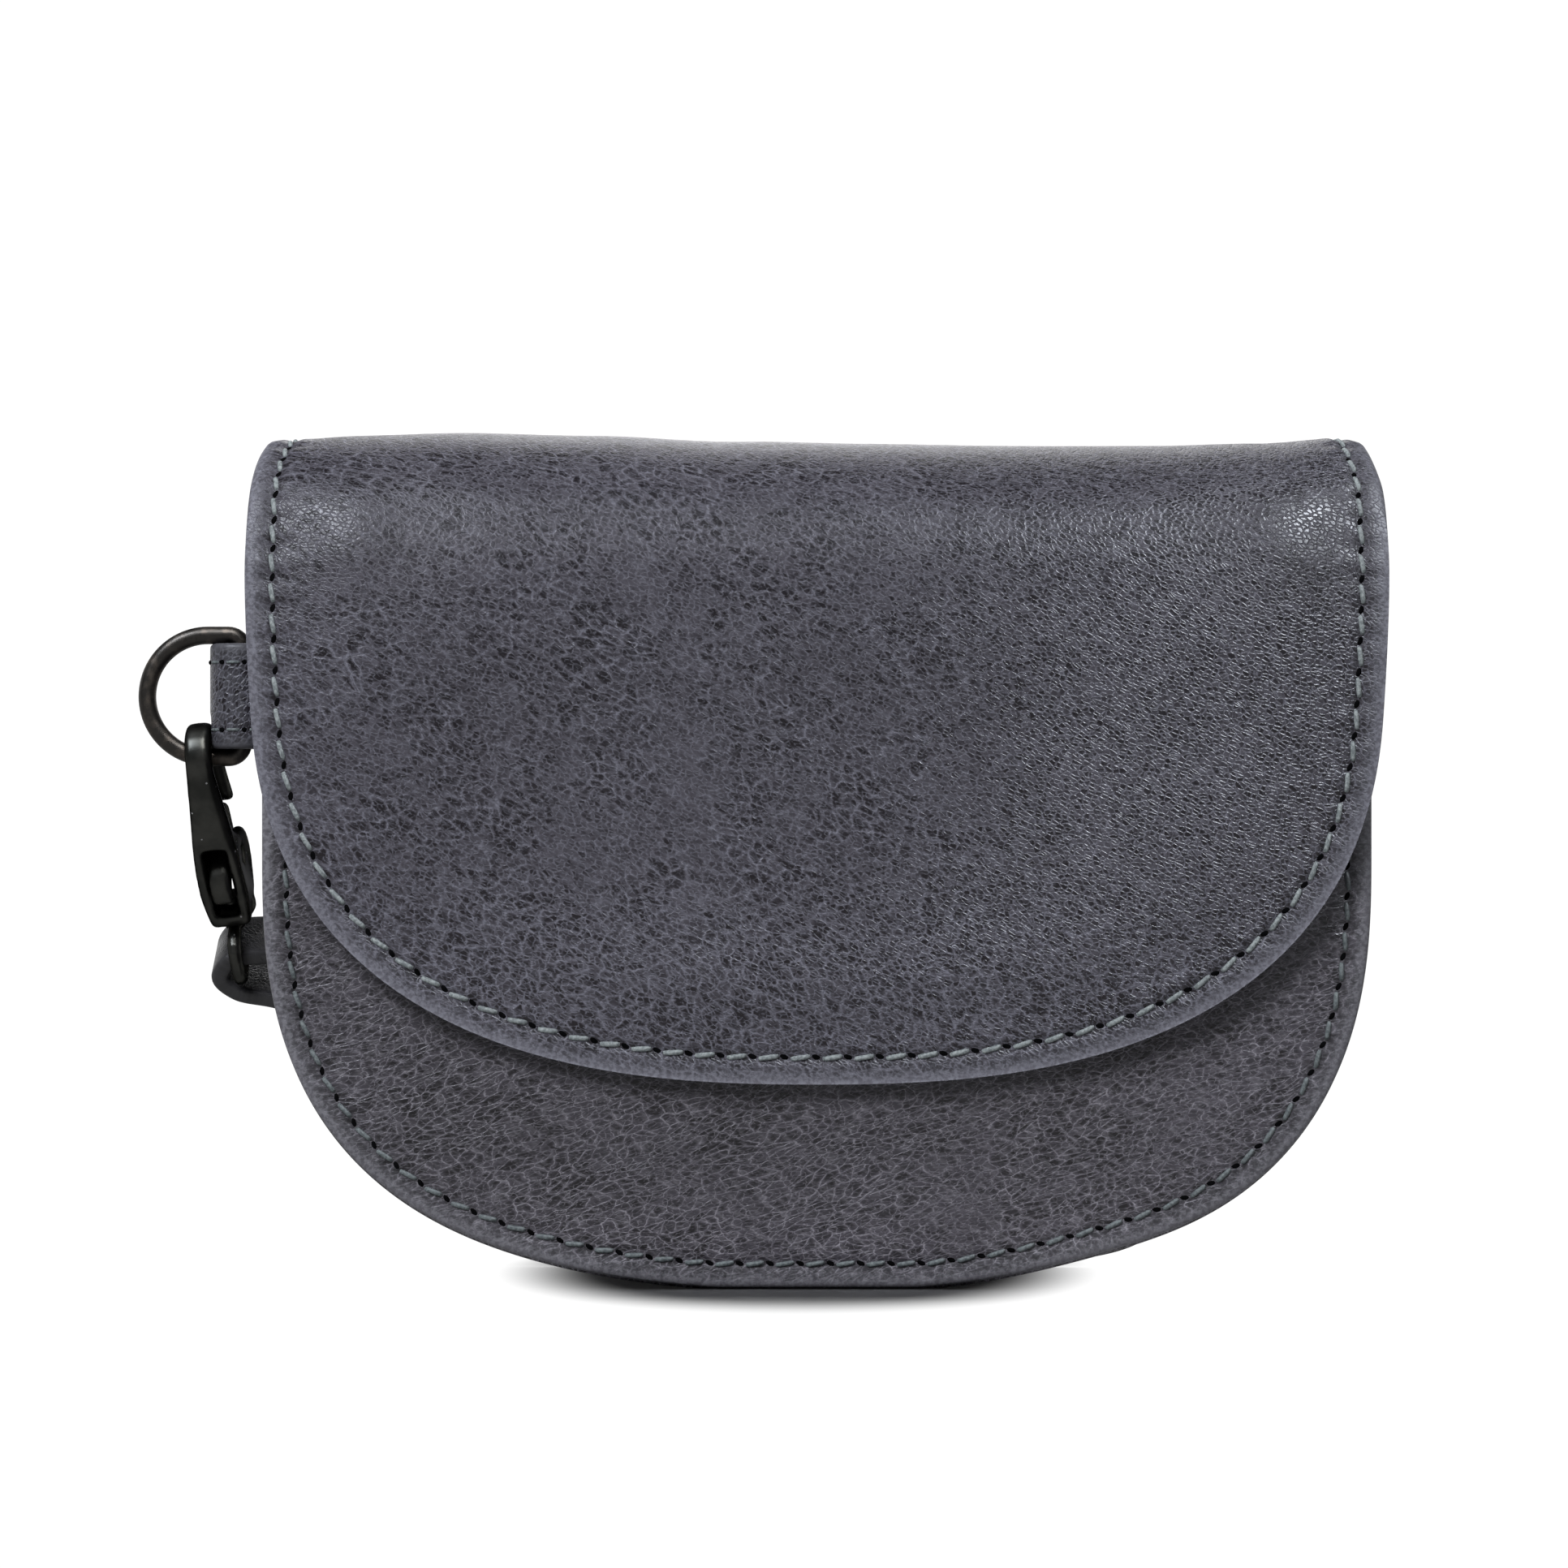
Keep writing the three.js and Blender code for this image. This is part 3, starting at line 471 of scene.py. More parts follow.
def panelOutline():
    x, rise = pouchEnd()
    low = np.stack([x, bag["top"] - np.maximum(rise - panel["sink"], panel["rest"])], 1)
    return np.vstack([[(0, 0), (bag["halfWidth"], 0)], low[::-1], [(-bag["halfWidth"], 0)]])


panelSheet = LeatherSheet(panel, panelOutline(), panelSurface, panelWaves, np.ones_like)
frontPanel = panelSheet.build("front_panel_leather")
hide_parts("front_panel")
panelThread = {
    "radius": 0.35, "start": 0.8, "stop": 0.6, "slant": -0.22,
    "slitLong": 0.8, "slitWide": 0.38, "slitDeep": 0.12,
}
# the mouth's edge isn't sewn
topHoles = math.ceil((bag["halfWidth"] - panel["seamInset"]) / panel["pitch"])
panelSewing, panelSlits = sew(
    "panel_seam", panelSheet, topHoles, panelSheet.stitches - topHoles, panelThread,
)
print("panel", len(frontPanel.data.polygons), "faces,", panelSheet.stitches, "stitches")

# gusset: a channel with sewn flanges, run round the pouch
gusset = {
    "leather": 1.4, "flange": 3.8, "bend": 1.0, "innerBend": 0.4, "stations": 240, "rounds": 2,
    "frontSewnIn": -0.04, "backSewnIn": 0.32, "cut": 0.3, "rim": 6.0,
}


def cutCorners(points, rounds):
    for _ in range(rounds):
        after = np.roll(points, -1, 0)
        points = np.stack([0.75 * points + 0.25 * after, 0.25 * points + 0.75 * after], 1).reshape(-1, 2)
    return points


def gussetSection():
    half = bag["depth"] / 2 + bag["gap"]
    wall = half - gusset["leather"]
    deep = gusset["flange"] + gusset["leather"]
    bend, inner, flange = gusset["bend"], gusset["innerBend"], gusset["flange"]
    outer = [(0, half), (deep - bend, half), (deep, half - bend)]
    inmost = [(flange, wall - inner), (flange - inner, wall), (0, wall)]
    outside = [(inset, -y) for inset, y in outer] + outer[::-1]
    inside = inmost[::-1] + [(inset, -y) for inset, y in inmost]
    section = cutCorners(np.array(outside + inside), gusset["rounds"])
    # the seams press the flanges into the sheets
    section[:, 1] += np.where(section[:, 1] > 0, gusset["backSewnIn"], gusset["frontSewnIn"])
    return section


def gussetPlace():
    section = gussetSection()
    girth = reachOf(np.vstack([section, section[:1]]))
    x, rise = pouchEnd()
    ends = [(-bag["halfWidth"], bag["top"])], [(bag["halfWidth"], bag["top"])]
    path = evenly(np.vstack([ends[0], np.stack([x, rise], 1), ends[1]]), gusset["stations"] + 1)
    along = np.gradient(path, axis=0)
    along /= np.linalg.norm(along, axis=1)[:, None]
    inward = np.stack([-along[:, 1], along[:, 0]], 1)
    reach = reachOf(path)

    def place(column, row):
        inset, y = section[column % len(section)].T
        at = path[row] + inward[row] * inset[:, None]
        z = np.maximum(at[:, 1] - bag["restFlat"], 0)
        z = np.where((row == 0) | (row == gusset["stations"]), bag["top"], z)
        hide = np.column_stack([girth[column], reach[row], np.full(len(row), gusset["rim"])])
        return np.column_stack([at[:, 0], y, z]), hide

    return len(section), place


# cut ends of a strip, closed and broken
def fillEnds(piece):
    bm = bmesh.new()
    bm.from_mesh(piece.data)
    ends = [e for e in bm.edges if e.is_boundary]
    bmesh.ops.holes_fill(bm, edges=ends, sides=0)
    breakEdges(bm, ends, gusset["cut"] * mm, 2)
    bmesh.ops.recalc_face_normals(bm, faces=bm.faces)
    bm.to_mesh(piece.data)
    bm.free()


around, place = gussetPlace()
gussetWall = layGrid("gusset_leather", around, gusset["stations"], place)
fillEnds(gussetWall)
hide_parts("gusset")
print("gusset", len(gussetWall.data.polygons), "faces")

# ring, and how the clasp hangs on it
ring = {
    "wire": 1.22, "planeY": 6.0, "centreZ": 79.0, "halfHeight": 8.35,
    "barX": -78.4, "arcX": -83.2, "corner": 2.0, "sides": 20, "cornerSteps": 10, "arcSteps": 48,
}
hang = {"wireX": -84.0, "lean": 30.0, "sway": -7.2, "eyeBar": -33.0}
drop = math.sqrt(ring["halfHeight"] ** 2 - (hang["wireX"] - ring["arcX"]) ** 2)
hangPlace = Matrix.Translation((hang["wireX"], ring["planeY"], ring["centreZ"] - drop))
hangPlace = hangPlace @ Matrix.Rotation(math.radians(hang["sway"]), 4, "Y")
hangPlace = hangPlace @ Matrix.Rotation(math.radians(hang["lean"]), 4, "X")


# a bar's section with round corners, its width first, and points across its two wide faces
def softBar(wide, thick, corner, steps=5, across=10):
    points = []
    flat = np.linspace(wide / 2 - corner, corner - wide / 2, across)[1:-1]
    for k, (a, b) in enumerate(((1, 1), (-1, 1), (-1, -1), (1, -1))):
        middle = np.array([a * (wide / 2 - corner), b * (thick / 2 - corner)])
        for turn in np.linspace(k, k + 1, steps) * math.pi / 2:
            points.append(middle + corner * np.array([math.cos(turn), math.sin(turn)]))
        if a == b:
            points += [np.array([a * x, b * thick / 2]) for x in flat]
    return np.array(points)


# a strip of leather swept along a line: each station has a place, a width direction and a thickness direction
def stripPlace(section, line, wide, thick, low):
    reach = reachOf(np.vstack([line, line[:1]]))
    halfWide = section[:, 0].max()

    def place(column, row):
        i, k = row % len(line), column % len(section)
        spots = line[i] + wide[i] * section[k, :1] + thick[i] * section[k, 1:]
        spots[:, 2] = np.maximum(spots[:, 2], low)
        rim = halfWide - np.abs(section[k, 0])
        return spots, np.column_stack([section[k, 0], reach[row], rim])

    return place


# tab: one strip round the ring's bar, its ends sewn flat together at the gusset
tab = {
    "wide": 14.4, "leather": 2.4, "corner": 0.7, "stations": 120,
    "neck": 5.0, "easeLong": 1.4, "easeUp": 0.25, "plyGap": 0.02, "loose": 0.6, "foldTurn": 73.0,
    "dentX": -82.6, "dentZ": 76.6, "dentSoft": 0.6, "dentDeep": 5.0,
}


def tabLine():
    r = ring["wire"] + bag["gap"] + tab["loose"] + tab["leather"] / 2
    ply = tab["leather"] / 2 + tab["plyGap"]
    root = -(bag["halfWidth"] - gusset["flange"]) - bag["gap"]
    neck = ring["barX"] + tab["neck"]
    turns = np.radians(np.linspace(tab["foldTurn"], 180, 7))
    fold = [(ring["barX"] + r * math.cos(t), r * math.sin(t)) for t in turns]
    upper = [(root, ply), (neck, ply), (neck - tab["easeLong"], ply + tab["easeUp"]), *fold]
    lower = [(x, -y) for x, y in upper[-2::-1]]
    flat = evenly(smoothLine(upper + lower, 12), tab["stations"] + 1)
    line = np.column_stack([flat[:, 0], flat[:, 1] + ring["planeY"], np.full(len(flat), ring["centreZ"])])
    along = np.gradient(line, axis=0)
    along /= np.linalg.norm(along, axis=1)[:, None]
    wide = np.tile([0.0, 0.0, 1.0], (len(line), 1))
    return line, wide, np.cross(along, wide)


# the fold is dented low down, where the hook leans on it
def tabPlace():
    section = softBar(tab["wide"], tab["leather"], tab["corner"])
    strip = stripPlace(section, *tabLine(), 0)

    def place(column, row):
        spots, hide = strip(column, row)
        low = smooth(tab["dentZ"] + tab["dentSoft"], tab["dentZ"] - tab["dentSoft"], spots[:, 2])
        spots[:, 0] = np.maximum(spots[:, 0], tab["dentX"] - tab["dentDeep"] * (1 - low))
        return spots, hide

    return len(section), place


around, place = tabPlace()
ringTab = layGrid("ring_tab_leather", around, tab["stations"], place)
fillEnds(ringTab)
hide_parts("ring_tab")

# two sewn lines along the tab, seen on its front ply
tabThread = {
    "radius": 0.22, "inset": 2.6, "first": 1.4, "pitch": 3.2, "long": 2.0, "count": 3,
    "slitLong": 0.5, "slitWide": 0.34, "slitDeep": 0.16,
}


def sewTab():
    line, wide, thick = tabLine()
    middle = len(line) // 2
    line, thick = line[middle:] + thick[middle:] * tab["leather"] / 2, thick[middle:]
    reach = reachOf(line)
    threads, slits = bmesh.new(), bmesh.new()

    def at(run, side):
        spot = [np.interp(run, reach, c) for c in line.T]
        up = Vector([np.interp(run, reach, c) for c in thick.T]).normalized()
        return Vector(toFrame(spot + wide[0] * side)), up

    for side in (tab["wide"] / 2 - tabThread["inset"], tabThread["inset"] - tab["wide"] / 2):
        for k in range(tabThread["count"]):
            run = tabThread["first"] + k * tabThread["pitch"]
            hole, up = at(run, side)
            start, _ = at(run + (tabThread["pitch"] - tabThread["long"]) / 2, side)
            end, _ = at(run + (tabThread["pitch"] + tabThread["long"]) / 2, side)
            addThread(threads, start, end, up, tabThread["radius"] * mm)
            addSlit(slits, hole, end - start, up, tabThread)
    return finishMesh(threads, "tab_seam_thread"), finishMesh(slits, "tab_seam_painted_shade_slits")


tabSewing, tabSlits = sewTab()

# wrist loop: round the eye's bar, out along the floor behind the bag, and back;
# the bend's columns are beside and over the bar, the run's are x, y, z and the strip's turn
strap = {
    "wide": 10.0, "leather": 2.4, "corner": 0.75, "steps": 16,
    "bend": [(3.2, 2.75), (-0.8, 2.6), (-2.75, 0.1), (-0.8, -2.7)],
    "run": [
        (-75, 24.2, 38.4, 26), (-60, 24.8, 32.5, 18), (-40, 25.0, 18.5, 8), (-22, 25.0, 6.6, 2),
        (-6, 25.0, 1.4, 0), (14, 25.0, 1.2, 0), (34, 25.0, 1.2, 0), (46, 25.0, 4.4, 0),
        (51, 25.0, 11.8, 0), (46, 25.0, 19.4, 0), (33, 25.0, 22.8, 0), (8, 25.0, 27.2, 1),
        (-18, 24.8, 34.0, 5), (-42, 24.0, 40.6, 13), (-62, 22.8, 44.2, 22),
    ],
}


def strapPlace():
    bend = [hangPlace @ Vector((beside, 0, hang["eyeBar"] + over)) for beside, over in strap["bend"]]
    rows = np.array([(*p, hang["lean"]) for p in bend] + strap["run"])
    line = smoothLine(rows[:, :3], strap["steps"], closed=True)
    at = np.arange(len(line)) / strap["steps"]
    turn = np.radians(np.interp(at, np.arange(len(rows)), rows[:, 3], period=len(rows)))
    along = np.roll(line, -1, 0) - np.roll(line, 1, 0)
    along /= np.linalg.norm(along, axis=1)[:, None]
    wide = np.column_stack([np.zeros(len(line)), np.cos(turn), np.sin(turn)])
    wide -= along * np.sum(wide * along, 1)[:, None]
    wide /= np.linalg.norm(wide, axis=1)[:, None]
    section = softBar(strap["wide"], strap["leather"], strap["corner"])
    return len(section), len(line), stripPlace(section, line, wide, np.cross(along, wide), 0)


around, stations, place = strapPlace()
wristStrap = layGrid("wrist_strap_leather", around, stations, place)
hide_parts("wrist_strap")
print("tab and strap", len(ringTab.data.polygons), len(wristStrap.data.polygons), "faces")


# wire: a round section that is pushed straight and bent round corners
def pushWire(bm, section, vector):
    made = bmesh.ops.extrude_edge_only(bm, edges=section)["geom"]
    bmesh.ops.translate(bm, verts=[g for g in made if isinstance(g, bmesh.types.BMVert)], vec=vector)
    return [g for g in made if isinstance(g, bmesh.types.BMEdge)][: len(section)]


def bendWire(bm, section, centre, angle, steps):
    made = bmesh.ops.spin(
        bm, geom=section, cent=centre, axis=(0, 1, 0), angle=math.radians(angle), steps=steps,
    )
    return [g for g in made["geom_last"] if isinstance(g, bmesh.types.BMEdge)]


def buildRing():
    centre = Vector(toFrame((0, ring["planeY"], ring["centreZ"])))
    bar, arc, legs = [x * mm for x in (ring["barX"], ring["arcX"], ring["barX"] - ring["corner"])]
    straight = (ring["halfHeight"] - ring["corner"]) * mm
    bm = bmesh.new()
    start = Matrix.Translation(centre + Vector((bar, 0, -straight)))
    bmesh.ops.create_circle(bm, segments=ring["sides"], radius=ring["wire"] * mm, matrix=start)
    section = pushWire(bm, list(bm.edges), (0, 0, 2 * straight))
    section = bendWire(bm, section, centre + Vector((legs, 0, straight)), -90, ring["cornerSteps"])
    section = pushWire(bm, section, (arc - legs, 0, 0))
    section = bendWire(bm, section, centre + Vector((arc, 0, 0)), -180, ring["arcSteps"])
    section = pushWire(bm, section, (legs - arc, 0, 0))
    bendWire(bm, section, centre + Vector((legs, 0, -straight)), -90, ring["cornerSteps"])
    bmesh.ops.remove_doubles(bm, verts=bm.verts, dist=weld["merge"] * mm)
    bmesh.ops.recalc_face_normals(bm, faces=bm.faces)
    return finishMesh(bm, "d_ring_wire")


dRing = buildRing()
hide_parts("d_ring")

# clasp: the solids' own forms, with their edges rounded as a casting's are
casting = {
    "voxel": 0.16,
    "clasp_hook": {"rounds": 60, "swell": 0.2},
    "clasp_lever": {"rounds": 60, "swell": 0.06},  # keeps room to rock
    "swivel": {"rounds": 5, "swell": 0.0},
}


def castCopy(node, body):
    bm = bmesh.new()
    bm.from_mesh(nodes[node].data)
    bmesh.ops.remove_doubles(bm, verts=bm.verts, dist=weld["merge"] * mm)
    rough = bpy.data.objects.new("rough", bpy.data.meshes.new("rough"))
    bm.to_mesh(rough.data)
    bm.free()
    bpy.context.scene.collection.objects.link(rough)
    remesh = rough.modifiers.new("cast", "REMESH")
    remesh.mode = "VOXEL"
    remesh.voxel_size = casting["voxel"] * mm
    bpy.context.view_layer.update()
    bm = bmesh.new()
    bm.from_mesh(rough.evaluated_get(bpy.context.evaluated_depsgraph_get()).data)
    bpy.data.objects.remove(rough)
    for _ in range(casting[node]["rounds"]):
        bmesh.ops.smooth_vert(
            bm, verts=bm.verts, factor=0.5, use_axis_x=True, use_axis_y=True, use_axis_z=True,
        )
    bm.normal_update()
    for v in bm.verts:
        v.co += v.normal * casting[node]["swell"] * mm  # what the smoothing took off
    made = finishMesh(bm, node + "_cast", body)
    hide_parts(node)
    return made


claspHook = castCopy("clasp_hook", "bag")
claspLever = castCopy("clasp_lever", "lever")
swivel = castCopy("swivel", "bag")

# the lever's pin, and the closing disc, which is as large as its solid
pin = {"radius": 0.8, "long": 5.6, "cut": 0.2}
snap = {"cut": 0.25}


# a short round pin or disc with broken edges
def roundPin(name, node, place, radius, long, cut):
    bm = bmesh.new()
    bmesh.ops.create_cone(
        bm, cap_ends=True, segments=32, radius1=radius, radius2=radius, depth=long, matrix=place,
    )
    rims = [e for e in bm.edges if any(len(f.verts) > 4 for f in e.link_faces)]
    breakEdges(bm, rims, cut, 3)
    made = finishMesh(bm, name)
    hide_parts(node)
    return made


hinge = frame["joints"][0]
pinAxis = Vector(hinge["axis"])
pinPlace = Matrix.Translation(hinge["pos_m"]) @ pinAxis.to_track_quat("Z", "Y").to_matrix().to_4x4()
pinSize = [pin[k] * mm for k in ("radius", "long", "cut")]
leverPin = roundPin("lever_pin_rivet", "lever_pin", pinPlace, *pinSize)
snapLow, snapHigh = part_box("snap_button")
snapSpan = snapHigh - snapLow
snapSize = snapSpan.x / 2, snapSpan.y, snap["cut"] * mm
snapPlace = Matrix.Translation((snapLow + snapHigh) / 2) @ Matrix.Rotation(math.pi / 2, 4, "X")
snapDisc = roundPin("snap_disc", "snap_button", snapPlace, *snapSize)
print("metal", [len(o.data.polygons) for o in (dRing, claspHook, claspLever, swivel, leverPin, snapDisc)])


# shader sums: a strand is one output socket
class Strand:
    def __init__(self, tree, socket=None):
        self.tree = tree
        self.socket = socket

    def node(self, kind, settings, inputs, out=0):
        made = self.tree.nodes.new("ShaderNode" + kind)
        for key, value in settings.items():
            setattr(made, key, value)
        for key, value in inputs.items():
            if isinstance(value, Strand):
                self.tree.links.new(value.socket, made.inputs[key])
            else:
                made.inputs[key].default_value = value
        return Strand(self.tree, made.outputs[out]) if made.outputs else None

    def sum(self, operation, a, b):
        return self.node("Math", {"operation": operation}, {0: a, 1: b})

    def __add__(self, other):
        return self.sum("ADD", self, other)

    def __radd__(self, other):
        return self.sum("ADD", other, self)

    def __sub__(self, other):
        return self.sum("SUBTRACT", self, other)

    def __rsub__(self, other):
        return self.sum("SUBTRACT", other, self)

    def __mul__(self, other):
        return self.sum("MULTIPLY", self, other)

    def __rmul__(self, other):
        return self.sum("MULTIPLY", other, self)

    def fade(self, low, high):
        inputs = {"Value": self, "From Min": low, "From Max": high, "To Min": 0.0, "To Max": 1.0}
        return self.node("MapRange", {"interpolation_type": "SMOOTHSTEP"}, inputs)

    # 0 up to the first place and after the last, 1 between the inner two
    def between(self, start, full, fall, end):
        return self.fade(start, full) * (1 - self.fade(fall, end))

    def tint(self, a, b, blend="MIX"):
        settings = {"data_type": "RGBA", "blend_type": blend}
        return self.node("Mix", settings, {0: self, 6: a, 7: b}, 2)

    # up to twice as bright
    def gain(self, colour):
        return self.tint(colour, rgb(2, 2, 2), "MULTIPLY")

    def moved(self, offset):
        return self.node("VectorMath", {"operation": "ADD"}, {0: self, 1: offset})

    def scaled(self, size):
        return self.node("VectorMath", {"operation": "MULTIPLY"}, {0: self, 1: size})

    def turned(self, degrees):
        inputs = {"Vector": self, "Rotation": (0, 0, math.radians(degrees))}
        return self.node("Mapping", {}, inputs)

    def split(self):
        made = self.node("SeparateXYZ", {}, {0: self}).socket.node
        return [Strand(self.tree, o) for o in made.outputs]

    def noise(self, size, detail=2.0, rough=0.5, out=0):
        inputs = {"Vector": self, "Scale": 1 / size, "Detail": detail, "Roughness": rough}
        return self.node("TexNoise", {"noise_dimensions": "2D"}, inputs, out)

    # cells of a grain: the way in from a cell's border, and a share that differs from cell to cell
    def cells(self, size):
        inputs = {"Vector": self, "Scale": 1 / size, "Randomness": 1.0}
        border = {"voronoi_dimensions": "2D", "feature": "DISTANCE_TO_EDGE"}
        centre = {"voronoi_dimensions": "2D", "feature": "F1"}
        share = self.node("TexVoronoi", centre, inputs, 1).split()[0].fade(0.1, 0.9)
        return self.node("TexVoronoi", border, inputs), share

    def warped(self, size, amount, detail=2.0):
        push = self.noise(size, detail, 0.5, 1).moved((-0.5, -0.5, -0.5))
        return self.moved(push.scaled((amount, amount, 0)))


def rgb(*colour):
    return (*colour, 1.0)


def newFinish(name, pieces):
    material = bpy.data.materials.new(name)
    material.use_nodes = True
    material.node_tree.nodes.clear()
    for piece in pieces:
        piece.data.materials.clear()
        piece.data.materials.append(material)
    return Strand(material.node_tree)


def closeFinish(start, inputs):
    shader = start.node("BsdfPrincipled", {}, inputs)
    start.node("OutputMaterial", {}, {"Surface": shader})


# pebbled leather: dark cells in a paler net, in patches, with worn pale edges that also carry a painted
# highlight on the rounded lip, and painted shade along the sewn line; runs of four fade in and out along the
# hide, and pale is where it turns paler and by how much, painted light from below on the panel; lean is
# painted light from the right
never = 500.0  # further than any hide runs
flapLook = {
    "net": rgb(0.173, 0.177, 0.223), "middle": rgb(0.066, 0.063, 0.080), "cell": rgb(0.008, 0.006, 0.009),
    "wornEdgeAndHighlight": rgb(0.185, 0.189, 0.230), "wornEdgeAndHighlightTo": 3.0, "edge": 0.28, "mottle": 0.5,
    "pebble": 1.5, "turn": -30.0, "pebbleDark": 1.0, "pebbleBump": 0.2, "patch": (0.3, 0.62),
    "fine": 0.62, "fineTurn": -24.0, "fineDark": 0.75, "fineSide": (-12.0, 62.0),
    "flat": (0.72, 1.2, 1.0), "lines": 0.95, "lineWidth": 0.12, "firm": 0.0, "bump": 0.1,
    "seam": 3.5, "sewn": 0.3, "pale": (165.0, 210.0, 0.2), "lean": 0.0,
    "band": (122.0, 128.0, 134.0, 140.0), "lowBand": (186.0, 204.0), "shoulder": (133.0, 140.0, 148.0, 160.0),
}
panelLook = {
    "net": rgb(0.250, 0.244, 0.282), "middle": rgb(0.064, 0.060, 0.075), "cell": rgb(0.009, 0.008, 0.010),
    "wornEdgeAndHighlight": rgb(0.190, 0.192, 0.220), "wornEdgeAndHighlightTo": 3.2, "edge": 0.45, "mottle": 1.3,
    "pebble": 1.15, "turn": 18.0, "pebbleDark": 0.72, "pebbleBump": 0.4, "patch": (0.2, 0.5),
    "fine": 0.6, "fineTurn": 12.0, "fineDark": 0.68, "fineSide": (70.0, 130.0),
    "flat": (0.55, 1.25, 1.0), "lines": 0.95, "lineWidth": 0.07, "firm": 0.55, "bump": 0.08,
    "seam": 3.2, "sewn": 0.2, "pale": (68.0, 86.0, 0.42), "lean": 0.26,
    "band": (never, never + 1, never + 2, never + 3), "lowBand": (never, never + 1),
    "shoulder": (never, never + 1, never + 2, never + 3),
}
stripLook = flapLook | {"seam": -9.0, "pale": (never, never + 1, 0.0)}
# the strap is a darker copy of the same leather: painted shade, as it lies behind the bag in its shadow
strapShadeLook = stripLook | {
    "net": rgb(0.044, 0.044, 0.050), "middle": rgb(0.020, 0.020, 0.023), "cell": rgb(0.004, 0.004, 0.005),
    "wornEdgeAndHighlight": rgb(0.030, 0.030, 0.033),
}
tabLook = stripLook | {
    "middle": rgb(0.052, 0.052, 0.064), "wornEdgeAndHighlight": rgb(0.075, 0.077, 0.09), "fineSide": (-40.0, 0.0),
}

# soft clouds over the hide: size, detail, roughness, where each starts and is full, and its shift aside
clouds = {
    "thin": (0.6, 3.0, 0.6, 0.38, 0.62, (0, 0, 0)),
    "faint": (3.2, 3.0, 0.6, 0.36, 0.62, (40, 3, 0)),
    "speckle": (9.0, 3.0, 0.6, 0.35, 0.65, (11, 47, 0)),
    "tone": (26.0, 3.0, 0.55, 0.3, 0.7, (7, 90, 0)),
    "blotch": (5.0, 2.0, 0.5, 0.35, 0.65, (60, 20, 0)),
}


def cloud(hide, name):
    size, detail, rough, low, high, aside = clouds[name]
    return hide.moved(aside).noise(size, detail, rough).fade(low, high)


# parts of the hide, each 0 to 1: low end, finer side, coarse patches, the shoulder's ends and middle
def hideZones(hide, look):
    x, s, rim = hide.split()
    low = s.fade(*look["lowBand"])
    side = (x + (hide.noise(34.0) - 0.5) * 50.0).fade(*look["fineSide"])
    side = side + low * (1 - side) * 0.5
    band = s.between(*look["band"]) * 0.6 + low * 0.75
    patch = 0.2 + hide.noise(12.0, 4.0, 0.6).fade(*look["patch"]) * 0.8
    patch = patch * (1 - side * 0.6) * (1 - band) + band
    shoulder = s.between(*look["shoulder"])
    ends = (x * x).fade(40.0**2, 58.0**2) * shoulder
    plain = rim.fade(0.3, 1.2)  # the lip has no grain
    return {
        "x": x, "s": s, "rim": rim, "low": low, "side": side, "patch": patch, "ends": ends,
        "calm": shoulder - ends, "plain": plain, "thin": cloud(hide, "thin"),
    }


# coarse pebbles and fine grain, each with its own lie
def hideGrain(hide, look):
    coarse = hide.turned(look["turn"]).scaled(look["flat"])
    pebble, pebblePick = coarse.warped(8.0, 4.0).warped(1.6, 0.8).warped(0.5, 0.22).cells(look["pebble"])
    close = hide.turned(look["fineTurn"]).scaled(look["flat"])
    fine, finePick = close.warped(1.0, 0.5).warped(0.3, 0.1).cells(look["fine"])
    return {"pebble": pebble, "pebblePick": pebblePick, "fine": fine, "finePick": finePick}


def darkCells(hide, look, zone, grain):
    blob = grain["pebble"].fade(0.06, 0.3) * (0.3 + grain["pebblePick"] * 0.7)
    blob = blob * zone["patch"] * look["pebbleDark"]
    dot = grain["fine"].fade(0.05, 0.28) * grain["finePick"] * look["fineDark"]
    dot = dot * (0.75 + zone["side"] * 0.8) * (0.65 + cloud(hide, "speckle") * 0.6)
    cells = (blob + dot * (1 - blob)) * zone["plain"]
    return (1 - cloud(hide, "tone")) * 0.2 + cloud(hide, "blotch") * 0.14 + cells


# the net's lines are broken and faint in places, and firmer at the low end
def paleNet(hide, look, zone, grain):
    firm = (1 - zone["x"].fade(10.0, 60.0) * 0.7) * look["firm"] + zone["low"] * (0.7 - zone["side"] * 0.25)
    faint = 0.25 + cloud(hide, "faint") * 0.75
    faint = faint + firm * (1 - faint)
    whole = 1 - (1 - zone["thin"]) * (0.75 - firm * 0.4)
    ridge = (1 - grain["pebble"].fade(0.0, look["lineWidth"])) * zone["patch"] * whole * faint
    ridge = ridge * (0.8 - zone["calm"] * 0.3 - zone["ends"] * 0.5)
    fineRidge = (1 - grain["fine"].fade(0.0, look["lineWidth"] * 1.6)) * (0.42 + zone["side"] * 0.18)
    fineRidge = fineRidge * zone["thin"] * (1 - zone["ends"] * 0.7)
    return (ridge + fineRidge * (1 - ridge)) * zone["plain"] * look["lines"]


